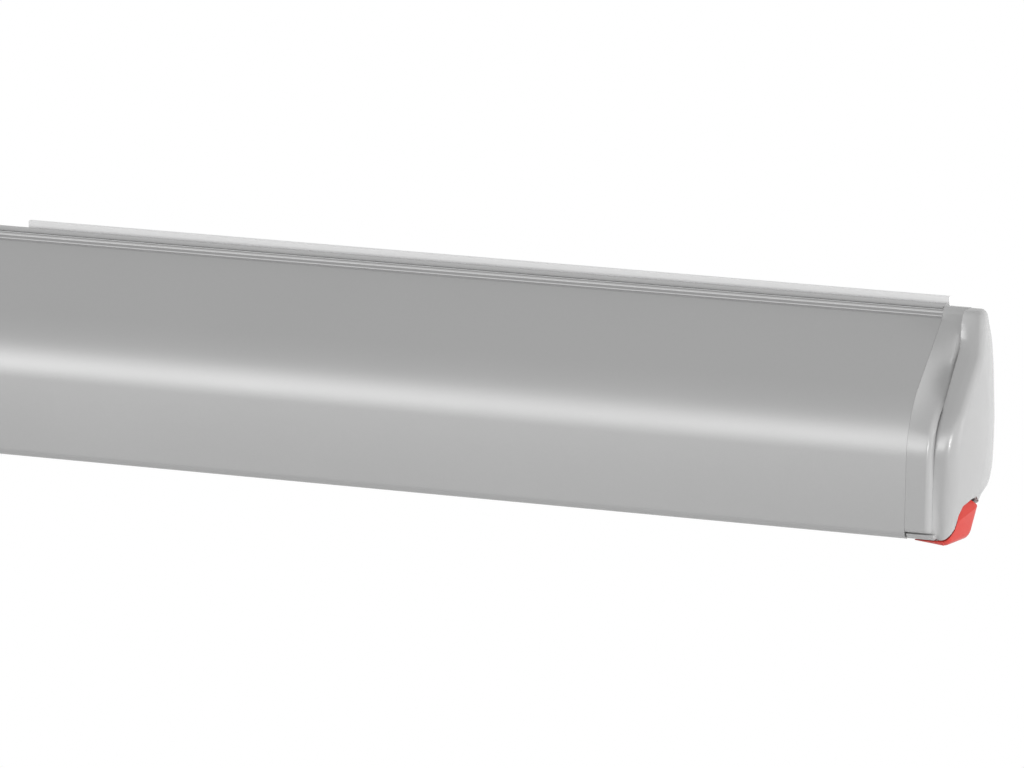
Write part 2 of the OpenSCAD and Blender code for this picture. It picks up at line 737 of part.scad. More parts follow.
// Plug in the end of the inner tube, with a tongue that the foot hangs on
module leg_tip(side, d) {
    far = 2 * (2 * leg_wall + slide_gap);
    color("black") on_side(side) difference() {
        union() {
            bar(inner_end, inner_end + tip_plug_l)
                translate([d, leg_z]) rounded(leg_t - far, leg_h - far, tube_bore_r);
            bar(foot_pin_x, inner_end + 1)
                translate([d, leg_z]) square([tongue_t, 2 * foot_eye_r], center = true);
            cross(foot_pin_x, d, foot_eye_r, tongue_t);
        }
        cross(foot_pin_x, d, foot_pin_r, leg_t);
    }
}
module foot_pin(side, d) {
    color("dimgray") on_side(side) cross(foot_pin_x, d, foot_pin_r, foot_w);
}
module leg_foot(side, d) {
    slot = tongue_t + 2 * slide_gap;
    color("black") on_side(side) difference() {
        union() {
            cross(foot_pin_x, d, foot_eye_r, foot_w);
            bar(foot_pin_x - foot_l, foot_pin_x)
                translate([d, leg_z]) square([foot_w, foot_neck_h], center = true);
            bar(foot_pin_x - foot_l, foot_pin_x - foot_l + foot_pad_t)
                translate([d, leg_z - 1]) rounded(leg_t, leg_h - 3, 1.5);
        }
        bar(foot_pin_x - foot_eye_r - 1.5, foot_pin_x + foot_eye_r + 1)
            translate([d, leg_z]) square([slot, 3 * foot_eye_r], center = true);
        cross(foot_pin_x, d, foot_pin_r + journal_play, leg_t);
    }
}

// Rafters: two telescopic poles stowed in clips inside the rail
rafter_wall = 0.9;
rafter_inset = 43;
rafter_start = half_length - rafter_inset;
rafter_inner_r = rafter_r - rafter_wall - slide_gap;
rafter_show = 8;
inner_short = 40;
tip_step = 0.3;
tip_l = 16;
clip_near = 93;
clip_far = 560;
clip_xs = [half_length - clip_near, half_length - clip_far];
clip_l = 24;
clip_play = 0.02;
clip_mouth = 8.8;
clip_cut = 20;
clip_mid_z = 44;
clip_top_z = 56.4;
function rafter_at(side) = side > 0 ? rafter_low : rafter_high;
module rafter_outer(side) {
    color("lightgray") on_side(side)
        ring(rafter_start - rafter_l, rafter_start, rafter_at(side), rafter_r, rafter_r - rafter_wall);
}
module rafter_inner(side) {
    x0 = rafter_start - rafter_l - rafter_show;
    color("silver") on_side(side) {
        ring(x0, x0 + rafter_l - inner_short, rafter_at(side), rafter_inner_r, rafter_inner_r - rafter_wall);
        rod(x0 - tip_l, x0, rafter_at(side), rafter_r - tip_step);
    }
}
module rafter_clips() {
    back = rafter_low[0] - rafter_r - 1.2;
    roof = lane_roof + roof_t;
    color("black") for (s = [-1, 1], x = clip_xs) bar(s * x - clip_l / 2, s * x + clip_l / 2) difference() {
        polygon([[back, roof], [belly_depth - 4.6, roof], [belly_depth - 5.2, clip_mid_z],
                 [belly_depth - 8.6, clip_top_z], [back - 2.4, clip_top_z], [back - 2.4, clip_mid_z]]);
        for (p = [rafter_low, rafter_high]) {
            translate(p) circle(rafter_r + clip_play);
            translate([p[0] - clip_cut, p[1] - clip_mouth / 2]) square([clip_cut, clip_mouth]);
        }
    }
}

wall_bracket(-1);  // wall_bracket_left
wall_bracket(1);  // wall_bracket_right
case_screws();
case_profile();
end_plate(-1);  // end_plate_left
end_plate(1);  // end_plate_right
plate_screws();
end_cap(-1);  // end_cap_left
end_cap(1);  // end_cap_right
cap_screws();
lever(-1);  // lever_left
lever(1);  // lever_right
lever_pin(-1);  // lever_pin_left
lever_pin(1);  // lever_pin_right
lever_spring(-1);  // lever_spring_left
lever_spring(1);  // lever_spring_right
roller_tube();
roller_plug(-1);  // roller_plug_left
roller_plug(1);  // roller_plug_right
roller_journal();
roller_bush(-1);  // roller_bush_left
roller_bush(1);  // roller_bush_right
spring_arbor();
spring_anchor();
return_spring();
canopy_roll();
canopy_sheet();
top_seal();
lead_rail();
rail_cap(-1);  // rail_cap_left
rail_cap(1);  // rail_cap_right
rail_cap_screws();
leg_bracket(-1, leg_back_d);  // leg_bracket_left
leg_bracket(1, leg_front_d);  // leg_bracket_right
leg_pin(-1, leg_back_d);  // leg_pin_left
leg_pin(1, leg_front_d);  // leg_pin_right
leg_knuckle(-1, leg_back_d);  // leg_knuckle_left
leg_knuckle(1, leg_front_d);  // leg_knuckle_right
leg_outer(-1, leg_back_d);  // leg_outer_left
leg_outer(1, leg_front_d);  // leg_outer_right
leg_inner(-1, leg_back_d);  // leg_inner_left
leg_inner(1, leg_front_d);  // leg_inner_right
leg_lock(-1, leg_back_d);  // leg_lock_left
leg_lock(1, leg_front_d);  // leg_lock_right
leg_tip(-1, leg_back_d);  // leg_tip_left
leg_tip(1, leg_front_d);  // leg_tip_right
foot_pin(-1, leg_back_d);  // foot_pin_left
foot_pin(1, leg_front_d);  // foot_pin_right
leg_foot(-1, leg_back_d);  // leg_foot_left
leg_foot(1, leg_front_d);  // leg_foot_right
rafter_outer(-1);  // rafter_outer_left
rafter_outer(1);  // rafter_outer_right
rafter_inner(-1);  // rafter_inner_left
rafter_inner(1);  // rafter_inner_right
rafter_clips();
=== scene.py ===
"""Dressed scene of a roll-out cassette awning, built over its CAD frame.

Sizes are in millimetres in the side view of the awning: x along the case, d out from the wall and z above the
underside. They become metres in the row frame when a vertex is placed.
"""
from __future__ import annotations

import json
import logging
import math
from dataclasses import dataclass, field
from enum import Enum
from typing import Callable, Sequence

import bmesh
import bpy
from bmesh.types import BMesh, BMFace, BMVert
from bpy.types import Material, Node, NodeSocket, NodeTree, Object
from mathutils import Matrix, Vector

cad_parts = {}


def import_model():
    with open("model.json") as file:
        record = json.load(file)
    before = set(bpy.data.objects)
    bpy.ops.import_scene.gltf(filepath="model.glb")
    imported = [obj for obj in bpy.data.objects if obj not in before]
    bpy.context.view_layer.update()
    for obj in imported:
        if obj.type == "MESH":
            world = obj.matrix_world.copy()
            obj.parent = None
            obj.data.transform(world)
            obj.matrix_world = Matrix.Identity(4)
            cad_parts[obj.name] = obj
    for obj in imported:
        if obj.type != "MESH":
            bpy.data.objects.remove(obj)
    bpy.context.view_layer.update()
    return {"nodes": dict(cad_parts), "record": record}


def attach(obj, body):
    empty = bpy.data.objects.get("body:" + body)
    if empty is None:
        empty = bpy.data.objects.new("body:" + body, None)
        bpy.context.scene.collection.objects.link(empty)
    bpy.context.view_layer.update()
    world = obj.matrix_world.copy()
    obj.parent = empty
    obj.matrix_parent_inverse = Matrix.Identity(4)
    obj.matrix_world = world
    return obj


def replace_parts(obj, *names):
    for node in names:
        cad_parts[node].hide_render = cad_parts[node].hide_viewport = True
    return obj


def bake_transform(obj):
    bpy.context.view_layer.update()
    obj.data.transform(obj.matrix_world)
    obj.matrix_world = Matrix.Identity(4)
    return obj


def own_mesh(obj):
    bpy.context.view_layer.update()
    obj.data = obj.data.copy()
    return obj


LOG = logging.getLogger("awning")
Pair = tuple[float, float]
Triple = tuple[float, float, float]
Outline = Sequence[Pair]
Rows = Sequence[tuple[float, ...]]
Materials = dict[str, Material]
Inputs = dict[str | int, object]

# A millimetre in metres, and the height of the row frame's origin over the underside
MM = 0.001
BOLT_Z = 67.0
# Middle of the canopy's bead in the side view, and a length past the seam that no piece reaches
BEAD = (63.0, 75.0)
FAR_X = 60.0
# Parts along d of an inward normal that tell the front and the back of an outline
FRONT_FACING = -0.3
BACK_FACING = 0.2
# Distances in metres of points that count as one, of cuts and of welds
SAME_SPOT = 2e-6
CUT_DIST = 1e-6
WELD_DIST = 1e-5
# Angle in radians or length in millimetres that counts as none
TINY = 1e-4
# Share of a half width that is rounded off to make a circle
FULL_ROUND = 0.9999


class Side(Enum):
    """End of the awning, with the sign of its x."""

    LEFT = -1
    RIGHT = 1

    @property
    def label(self) -> str:
        """Ending of the names of this side's pieces."""
        return self.name.lower()


def place(x: float, d: float, z: float) -> Vector:
    """Row-frame point in metres of a length position and a side-view point in millimetres."""
    return Vector((x * MM, -d * MM, (z - BOLT_Z) * MM))


# Drawing and shaping


@dataclass(frozen=True)
class Corner:
    """Corner of an outline in the side view, rounded with an arc."""

    d: float
    z: float
    radius: float = 0.0
    steps: int = 3

    @property
    def spot(self) -> Vector:
        """Corner point as a side-view vector."""
        return Vector((self.d, self.z))


@dataclass
class OutlinePen:
    """Draws side-view wires in a bmesh, at one length position, with extruded vertices and spun arcs."""

    bm: BMesh
    x: float
    path: list[BMVert] = field(default_factory=list)

    def line(self, spot: Vector) -> None:
        """Draws a straight line to a side-view point, or starts there.

        Args:
            spot: Side-view point.
        """
        target = place(self.x, spot.x, spot.y)
        if not self.path:
            self.path.append(self.bm.verts.new(target))
            return
        if (self.path[-1].co - target).length < SAME_SPOT:
            return
        made = bmesh.ops.extrude_vert_indiv(self.bm, verts=[self.path[-1]])
        made["verts"][0].co = target
        self.path.append(made["verts"][0])

    def arc(self, centre: Vector, turn: float, steps: int) -> None:
        """Spins the last point about a centre.

        Args:
            centre: Side-view centre of the arc.
            turn: Anticlockwise angle in radians.
            steps: Number of pieces of the arc.
        """
        seen = set(self.bm.verts)
        bmesh.ops.spin(self.bm, geom=[self.path[-1]], cent=place(self.x, centre.x, centre.y), axis=(-1, 0, 0),
                       angle=turn, steps=steps)
        fresh = set(self.bm.verts) - seen
        while fresh:
            last = self.path[-1]
            self.path.append(next(v for v in (e.other_vert(last) for e in last.link_edges) if v in fresh))
            fresh.discard(self.path[-1])

    def rounded(self, corners: Sequence[Corner]) -> list[BMVert]:
        """Draws a closed outline with rounded corners.

        Args:
            corners: Corners in order.

        Returns:
            The vertices of the closed loop in order.
        """
        count = len(corners)
        for i, corner in enumerate(corners):
            into = (corner.spot - corners[i - 1].spot).normalized()
            out = (corners[(i + 1) % count].spot - corner.spot).normalized()
            turn = math.atan2(into.x * out.y - into.y * out.x, into.dot(out))
            if corner.radius <= 0 or abs(turn) < TINY:
                self.line(corner.spot)
                continue
            start = corner.spot - into * corner.radius * math.tan(abs(turn) / 2)
            left = Vector((-into.y, into.x))
            self.line(start)
            self.arc(start + left * math.copysign(corner.radius, turn), turn, corner.steps)
        return self.close()

    def close(self) -> list[BMVert]:
        """Joins the last point to the first one.

        Returns:
            The vertices of the loop in order.
        """
        if (self.path[-1].co - self.path[0].co).length < SAME_SPOT:
            bmesh.ops.pointmerge(self.bm, verts=[self.path[0], self.path.pop()], merge_co=self.path[0].co)
            self.path = [v for v in self.path if v.is_valid]
        if self.bm.edges.get((self.path[-1], self.path[0])) is None:
            self.bm.edges.new((self.path[-1], self.path[0]))
        loop, self.path = self.path, []
        return loop


def side_view(spot: Vector) -> Vector:
    """Side-view point in millimetres of a row-frame point."""
    return Vector((-spot.y / MM, spot.z / MM + BOLT_Z))


def neighbours(ring: Sequence) -> list[tuple]:
    """Pairs of neighbouring points of a closed ring."""
    return list(zip(ring, [*ring[1:], ring[0]]))


def inward(loop: Sequence[BMVert]) -> list[Vector]:
    """Side-view unit vectors that point into a closed loop, one for each vertex.

    Args:
        loop: Vertices of the loop in order.

    Returns:
        The unit vectors.
    """
    spots = [side_view(v.co) for v in loop]
    area = sum(a.x * b.y - a.y * b.x for a, b in neighbours(spots))
    turn = 1 if area > 0 else -1
    count = len(spots)
    ways = [(spots[(i + 1) % count] - spots[i - 1]).normalized() for i in range(count)]
    return [Vector((-way.y, way.x)) * turn for way in ways]


def grow_ring(bm: BMesh, loop: Sequence[BMVert], targets: Sequence[Vector]) -> list[BMVert]:
    """Extrudes a closed loop to new places.

    Args:
        bm: Mesh that holds the loop.
        loop: Vertices of the loop in order.
        targets: New row-frame place of each vertex.

    Returns:
        The vertices of the new loop in the same order.
    """
    edges = [bm.edges.get((loop[i - 1], loop[i])) for i in range(len(loop))]
    made = bmesh.ops.extrude_edge_only(bm, edges=edges)["geom"]
    fresh = {g for g in made if isinstance(g, BMVert)}
    ring = [next(e.other_vert(v) for e in v.link_edges if e.other_vert(v) in fresh) for v in loop]
    for vert, target in zip(ring, targets):
        vert.co = target
    return ring


def draw_along(bm: BMesh, made: Sequence[object], length: float) -> None:
    """Moves the new vertices of an extrusion along the case by a length in millimetres."""
    bmesh.ops.translate(bm, verts=[g for g in made if isinstance(g, BMVert)], vec=(length * MM, 0, 0))


def extruded(bm: BMesh, x0: float, x1: float, corners: Sequence[Corner], edge: float = 0.0) -> None:
    """Extrudes a rounded outline along the case.

    Args:
        bm: Mesh to add to.
        x0: Start in millimetres.
        x1: End in millimetres.
        corners: Corners of the outline.
        edge: Width of the bevel on both end edges in millimetres.
    """
    first = bm.faces.new(OutlinePen(bm, x0).rounded(corners))
    made = bmesh.ops.extrude_face_region(bm, geom=[first])["geom"]
    draw_along(bm, made, x1 - x0)
    if edge > 0:
        last = next(g for g in made if isinstance(g, BMFace))
        bmesh.ops.bevel(bm, geom=[*first.edges, *last.edges], offset=edge * MM, offset_type="OFFSET",
                        affect="EDGES", segments=2, profile=0.5, material=-1, clamp_overlap=True)


def softened(spots: Outline, radius: float, steps: int = 3) -> list[Corner]:
    """Corners of an outline that all have the same round."""
    return [Corner(d, z, radius, steps) for d, z in spots]


def box_corners(d0: float, z0: float, d1: float, z1: float, radius: float = 0.3, steps: int = 3
                ) -> list[Corner]:
    """Corners of an upright rectangle in the side view."""
    return softened(((d0, z0), (d1, z0), (d1, z1), (d0, z1)), radius, steps)


def round_corners(d: float, z: float, radius: float) -> list[Corner]:
    """Corners of a full circle in the side view."""
    return box_corners(d - radius, z - radius, d + radius, z + radius, radius * FULL_ROUND, steps=6)


def finish_piece(bm: BMesh, name: str, material: Material, sharp_deg: float = 32.0) -> Object:
    """Makes a smooth shaded object from a bmesh.

    Args:
        bm: Finished mesh, which is freed.
        name: Name of the piece.
        material: Material of all its faces.
        sharp_deg: Edges that turn more than this stay sharp.

    Returns:
        The new object at the origin.
    """
    mesh = bpy.data.meshes.new(name)
    bm.to_mesh(mesh)
    bm.free()
    mesh.shade_smooth()
    mesh.set_sharp_from_angle(angle=math.radians(sharp_deg))
    mesh.materials.append(material)
    piece = bpy.data.objects.new(name, mesh)
    bpy.context.scene.collection.objects.link(piece)
    return piece


def fade_share(z: float, span: Pair) -> float:
    """Share that falls smoothly from one to zero between two heights."""
    t = min(1.0, max(0.0, (z - span[0]) / (span[1] - span[0])))
    return 1 - t * t * (3 - 2 * t)


def settle(bm: BMesh, side: Side) -> None:
    """Points the faces of a right-hand mesh outwards and mirrors it for the left side.

    Args:
        bm: Mesh of a right-hand piece.
        side: End that the piece belongs to.
    """
    bmesh.ops.recalc_face_normals(bm, faces=bm.faces)
    if side is Side.LEFT:
        bmesh.ops.scale(bm, vec=(-1, 1, 1), verts=bm.verts)
        bmesh.ops.reverse_faces(bm, faces=bm.faces)


# Shader groups and finishes


def wire(tree: NodeTree, node: Node, inputs: Inputs) -> None:
    """Sets or links the inputs of a node.

    Args:
        tree: Tree of the node.
        node: Node to set.
        inputs: Value of each input, or the socket that feeds it, by name or number.
    """
    for label, value in inputs.items():
        if isinstance(value, NodeSocket):
            tree.links.new(value, node.inputs[label])
        else:
            node.inputs[label].default_value = value


def add_node(tree: NodeTree, kind: str, inputs: Inputs | None = None, **settings: object) -> Node:
    """Adds a shader node.

    Args:
        tree: Tree to add to.
        kind: Type of the node, without its prefix.
        inputs: Values and sockets of its inputs.
        **settings: Other settings of the node, made before its inputs.

    Returns:
        The new node.
    """
    node = tree.nodes.new(f"ShaderNode{kind}")
    for label, value in settings.items():
        setattr(node, label, value)
    wire(tree, node, inputs or {})
    return node


def calc(tree: NodeTree, operation: str, a: object, b: object) -> NodeSocket:
    """Adds a math node on two sockets or numbers and returns its output."""
    return add_node(tree, "Math", {0: a, 1: b}, operation=operation).outputs[0]


def noise(tree: NodeTree, scale: float, detail: float, stretch: Triple = (1, 1, 1)) -> NodeSocket:
    """Adds a noise texture on object coordinates.

    Args:
        tree: Node tree to add to.
        scale: Scale of the noise.
        detail: Levels of detail.
        stretch: Scale of the coordinates along each axis.

    Returns:
        Its value.
    """
    coord = add_node(tree, "TexCoord")
    mapping = add_node(tree, "Mapping", {"Vector": coord.outputs["Object"], "Scale": stretch})
    inputs = {"Vector": mapping.outputs["Vector"], "Scale": scale, "Detail": detail}
    return add_node(tree, "TexNoise", inputs).outputs["Fac"]


def new_material(name: str) -> tuple[Material, NodeTree, Node]:
    """Starts a node material.

    Args:
        name: Name of the material.

    Returns:
        The material, its tree and its main shader.
    """
    material = bpy.data.materials.new(name)
    material.use_nodes = True
    tree = material.node_tree
    return material, tree, tree.nodes["Principled BSDF"]


def new_group(name: str, inputs: Sequence[str], outputs: Sequence[str]
              ) -> tuple[NodeTree, Sequence[NodeSocket], Node]:
    """Starts a shader node group.

    Args:
        name: Name of the group.
        inputs: Names of the values that it is given.
        outputs: Names of the values that it hands over.

    Returns:
        Its tree, the sockets that it is given and its output node.
    """
    tree = bpy.data.node_groups.new(name, "ShaderNodeTree")
    for way, labels in (("INPUT", inputs), ("OUTPUT", outputs)):
        for label in labels:
            tree.interface.new_socket(label, in_out=way, socket_type="NodeSocketFloat")
    return tree, tree.nodes.new("NodeGroupInput").outputs, tree.nodes.new("NodeGroupOutput")


class Surface(Enum):
    """Which shared group shapes a finish, with the name of the group."""

    GRAIN = "fine_grain"
    DRAWN = "drawn_lines"
    WEAVE = "plain_weave"


class GroupMaker:
    """Builds the shader node groups that the finishes share."""

    surface_inputs = ("Tint Spread", "Roughness", "Roughness Spread")
    surface_outputs = ("Height", "Tint", "Roughness")
    broad_share = 0.6
    thread_mm = 0.9
    thread_wobble = 0.6
    # Colour share in the low gaps of the weave, which is painted shade, and how much lighter the raised
    # threads are painted
    weave_gap_shade = 0.8
    weave_relief = 0.25
    dust_slope = 0.55

    def __init__(self) -> None:
        """Makes all the groups once."""
        grain = self._grain()
        self.surfaces = {Surface.GRAIN: grain, Surface.DRAWN: self._drawn_lines(),
                         Surface.WEAVE: self._weave(grain)}
        self.dust = self._dust()

    @staticmethod
    def _fed(group: tuple, height: NodeSocket, tint: NodeSocket, rough: NodeSocket) -> NodeTree:
        """Spreads noise around the middle values of a surface and leads it to the group's outputs.

        Args:
            group: Tree, given sockets and output node.
            height: Height of the surface.
            tint: Noise of the colour.
            rough: Noise of the roughness.

        Returns:
            The tree of the group.
        """
        tree, source, sink = group
        outputs = {"Height": height}
        for label, value, middle in (("Tint", tint, 1.0), ("Roughness", rough, source["Roughness"])):
            centred = calc(tree, "SUBTRACT", value, 0.5)
            scaled = calc(tree, "MULTIPLY", centred, source[f"{label} Spread"])
            outputs[label] = calc(tree, "ADD", scaled, middle)
        wire(tree, sink, outputs)
        return tree

    def _grain(self) -> NodeTree:
        """Fine grain of paint or moulded plastic.

        Returns:
            The tree of the group.
        """
        group = new_group(Surface.GRAIN.value, self.surface_inputs, self.surface_outputs)
        tree = group[0]
        broad = noise(tree, scale=9.0, detail=3.0)
        speck = noise(tree, scale=620.0, detail=1.0)
        both = calc(tree, "ADD", calc(tree, "MULTIPLY", broad, self.broad_share),
                    calc(tree, "MULTIPLY", speck, 1 - self.broad_share))
        return self._fed(group, noise(tree, scale=1700.0, detail=2.0), both, broad)

    def _drawn_lines(self) -> NodeTree:
        """Fine lines along the case, as extruded and drawn metal shows.

        Returns:
            The tree of the group.
        """
        group = new_group(Surface.DRAWN.value, self.surface_inputs, self.surface_outputs)
        lines = noise(group[0], scale=900.0, detail=3.0, stretch=(0.004, 1, 1))
        bands = noise(group[0], scale=140.0, detail=2.0, stretch=(0.01, 1, 1))
        return self._fed(group, lines, bands, lines)

    def _weave(self, grain: NodeTree) -> NodeTree:
        """Plain weave under a coat with fine grain, and painted shade that darkens the colour in the gaps
        between the threads.

        Args:
            grain: Group of the fine grain.

        Returns:
            The tree of the group.
        """
        tree, source, sink = new_group(Surface.WEAVE.value, self.surface_inputs, self.surface_outputs)
        coat = add_node(tree, "Group", {label: source[label] for label in self.surface_inputs},
                        node_tree=grain).outputs
        # At scale one, a band of the wave texture is a tenth of pi wide
        inputs = {"Vector": add_node(tree, "TexCoord").outputs["Object"], "Detail": 1.0,
                  "Scale": math.pi / (self.thread_mm * MM * 10), "Distortion": self.thread_wobble}
        threads = [add_node(tree, "TexWave", inputs, bands_direction=axis).outputs["Fac"] for axis in "XY"]
        weave = calc(tree, "MAXIMUM", *threads)
        # Painted shade: the colour darkens where the weave is low, in the gaps between the threads
        shade = calc(tree, "ADD", calc(tree, "MULTIPLY", weave, self.weave_relief), self.weave_gap_shade)
        wire(tree, sink, {"Height": weave, "Tint": calc(tree, "MULTIPLY", coat["Tint"], shade),
                          "Roughness": coat["Roughness"]})
        return tree

    def _dust(self) -> NodeTree:
        """Soft mask of dust that lies on faces that look up.

        Returns:
            The tree of the group.
        """
        tree, source, sink = new_group("dust", ("Amount",), ("Mask",))
        geometry = add_node(tree, "NewGeometry")
        split = add_node(tree, "SeparateXYZ", {"Vector": geometry.outputs["Normal"]})
        upward = calc(tree, "MAXIMUM", calc(tree, "SUBTRACT", split.outputs["Z"], self.dust_slope), 0.0)
        patches = calc(tree, "MULTIPLY", upward, noise(tree, scale=38.0, detail=5.0))
        wire(tree, sink, {"Mask": calc(tree, "MULTIPLY", patches, source["Amount"])})
        return tree


@dataclass(frozen=True)
class Finish:
    """Procedural finish of one material slot."""

    slot: str
    color: Triple
    surface: Surface = Surface.GRAIN
    metallic: float = 0.0
    roughness: float = 0.4
    roughness_spread: float = 0.08
    tint_spread: float = 0.06
    bump: float = 0.05
    bump_depth: float = 0.0004
    dust: float = 0.15
    dust_color: Triple = (0.55, 0.54, 0.52)
    specular: float = 0.5
    sheen: float = 0.0

    def build(self, groups: GroupMaker) -> Material:
        """Makes the material.

        Args:
            groups: Shared shader groups.

        Returns:
            A node material named after the slot.
        """
        material, tree, shader = new_material(self.slot)
        surface = add_node(tree, "Group", {
            "Tint Spread": self.tint_spread, "Roughness": self.roughness,
            "Roughness Spread": self.roughness_spread}, node_tree=groups.surfaces[self.surface]).outputs
        dust = add_node(tree, "Group", {"Amount": self.dust}, node_tree=groups.dust).outputs
        tint = add_node(tree, "Mix", {"Factor": 1.0, "A": (*self.color, 1), "B": surface["Tint"]},
                        data_type="RGBA", blend_type="MULTIPLY").outputs
        layers = {"Factor": dust["Mask"], "A": tint["Result"], "B": (*self.dust_color, 1)}
        dusted = add_node(tree, "Mix", layers, data_type="RGBA").outputs
        bump = add_node(tree, "Bump", {
            "Height": surface["Height"], "Strength": self.bump, "Distance": self.bump_depth}).outputs
        wire(tree, shader, {
            "Base Color": dusted["Result"], "Metallic": self.metallic, "Roughness": surface["Roughness"],
            "Specular IOR Level": self.specular, "Sheen Weight": self.sheen, "Normal": bump["Normal"]})
        return material


FINISHES: tuple[Finish, ...] = (
    Finish("rail_paint", (0.365, 0.365, 0.365), metallic=0.38, roughness=0.37, bump=0.06, dust=0.0),
    Finish("case_paint", (0.42, 0.42, 0.42), metallic=0.2, roughness=0.45, bump=0.06),
    Finish("cap_grey", (0.39, 0.39, 0.39), metallic=0.14, roughness=0.26, tint_spread=0.04, dust=0.0),
    Finish("lever_red", (0.50, 0.045, 0.035), roughness=0.34, tint_spread=0.05, dust=0.0, specular=0.3),
    Finish("bracket_alloy", (0.93, 0.93, 0.93), Surface.DRAWN, roughness=0.42, bump=0.08),
    Finish("bare_alloy", (0.60, 0.60, 0.61), Surface.DRAWN, metallic=0.9, roughness=0.34, bump=0.08),
    Finish("cast_grey", (0.24, 0.24, 0.25), metallic=0.5, roughness=0.55, bump=0.3, tint_spread=0.15),
    Finish("steel", (0.52, 0.52, 0.51), metallic=1.0, roughness=0.3, roughness_spread=0.2, bump=0.06),
    Finish("spring_steel", (0.30, 0.29, 0.28), metallic=1.0, roughness=0.35, bump=0.06),
    Finish("black_plastic", (0.028, 0.028, 0.029), roughness=0.5, bump=0.2, tint_spread=0.2),
    Finish("bush_plastic", (0.70, 0.68, 0.60), roughness=0.45, bump=0.1),
    Finish("seal_rubber", (0.025, 0.025, 0.025), roughness=0.68, bump=0.2, tint_spread=0.2),
    Finish("canopy", (0.30, 0.32, 0.35), Surface.WEAVE, roughness=0.62, tint_spread=0.12, bump=0.35,
           bump_depth=0.0003, dust=0.0, specular=0.35, sheen=0.15),
)


# Sub-assemblies

# Front face of the rail and its caps in the side view
FACE_TOP = Corner(38.2, 106.0, 0.4)
FACE_BEND = Corner(85.750, 64.519, 48.0, 28)
FACE_BELLY = Corner(90.0, 4.0, 4.0, 8)


@dataclass
class FrontRail:
    """Sliding front rail: painted extrusion with a moulding, two leg lanes and a canopy groove."""

    materials: Materials
    half_length: float = 892.94
    groove_r: float = 3.2
    groove_wall: float = 1.8
    mouth: float = 1.6
    web_deg: float = 48.9
    web_span: Pair = (4.2, 6.5)
    web_t: float = 2.4
    port: Triple = (68.0, 33.6, 3.6)
    # Wall and roof of the leg lanes, with the rib between them
    lanes: Outline = ((63.6, 8), (65, 8), (65, 29), (75, 29), (75, 24), (75.9, 24), (75.9, 29), (88, 29),
                      (88, 30.6), (63.6, 30.6))
    # Corners of the skin above its front face and on its inner side
    moulding: Rows = (
        (29, 112, 0.3), (36.6, 112, 0.4), (37.2, 111.4, 0.25), (35.9, 111.2, 0.05), (35.9, 110.9, 0.05),
        (37.1, 110.6, 0.3), (36.3, 109.9, 0.3), (36.4, 108.6, 0.6), (37.8, 107.7, 0.2), (38.0, 107.2, 0.2),
        (37.3, 106.6, 0.08))
    hollow: Rows = (
        (86, 4, 0.3), (86, 6, 0.3), (88, 6, 1.8), (83.817, 63.551, 46, 12), (36.885, 104.493, 0.3),
        (33.8, 107, 0.3), (33.8, 110.4, 0.3), (29, 110.4, 0.3))

    def skin_corners(self) -> list[Corner]:
        """Corners of the closed skin, with the moulding at the top."""
        face = (FACE_TOP, FACE_BEND, FACE_BELLY)
        return [*(Corner(*c) for c in self.moulding), *face, *(Corner(*c) for c in self.hollow)]

    def groove(self, bm: BMesh) -> None:
        """Adds the groove that holds the bead of the canopy, open towards the roller.

        Args:
            bm: Mesh to add to.
        """
        centre = Vector(BEAD)
        pen = OutlinePen(bm, -self.half_length)
        for radius, way, steps in ((self.groove_r + self.groove_wall, 1, 32), (self.groove_r, -1, 24)):
            gap = math.asin(self.mouth / 2 / radius)
            pen.line(centre + radius * Vector((-math.cos(gap), way * math.sin(gap))))
            pen.arc(centre, -way * (2 * math.pi - 2 * gap), steps)
        face = bm.faces.new(pen.close())
        draw_along(bm, bmesh.ops.extrude_face_region(bm, geom=[face])["geom"], 2 * self.half_length)

    def web_corners(self) -> list[Corner]:
        """Corners of the web between the groove and the skin.

        Returns:
            The corners in order.
        """
        turn = math.radians(self.web_deg)
        along = Vector((math.cos(turn), math.sin(turn)))
        across = Vector((-along.y, along.x)) * (self.web_t / 2)
        start, end = (Vector(BEAD) + reach * along for reach in self.web_span)
        return [Corner(*p) for p in (start - across, end - across, end + across, start + across)]

    def build(self) -> Object:
        """Builds and dresses the rail.

        Returns:
            The rail piece.
        """
        bm = bmesh.new()
        lanes = softened(self.lanes, radius=0.3, steps=2)
        for corners in (self.skin_corners(), lanes, self.web_corners(), round_corners(*self.port)):
            extruded(bm, -self.half_length, self.half_length, corners)
        self.groove(bm)
        bmesh.ops.recalc_face_normals(bm, faces=bm.faces)
        piece = finish_piece(bm, "front_rail", self.materials["rail_paint"], sharp_deg=25.0)
        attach(piece, "lead_rail")
        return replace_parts(piece, "lead_rail")


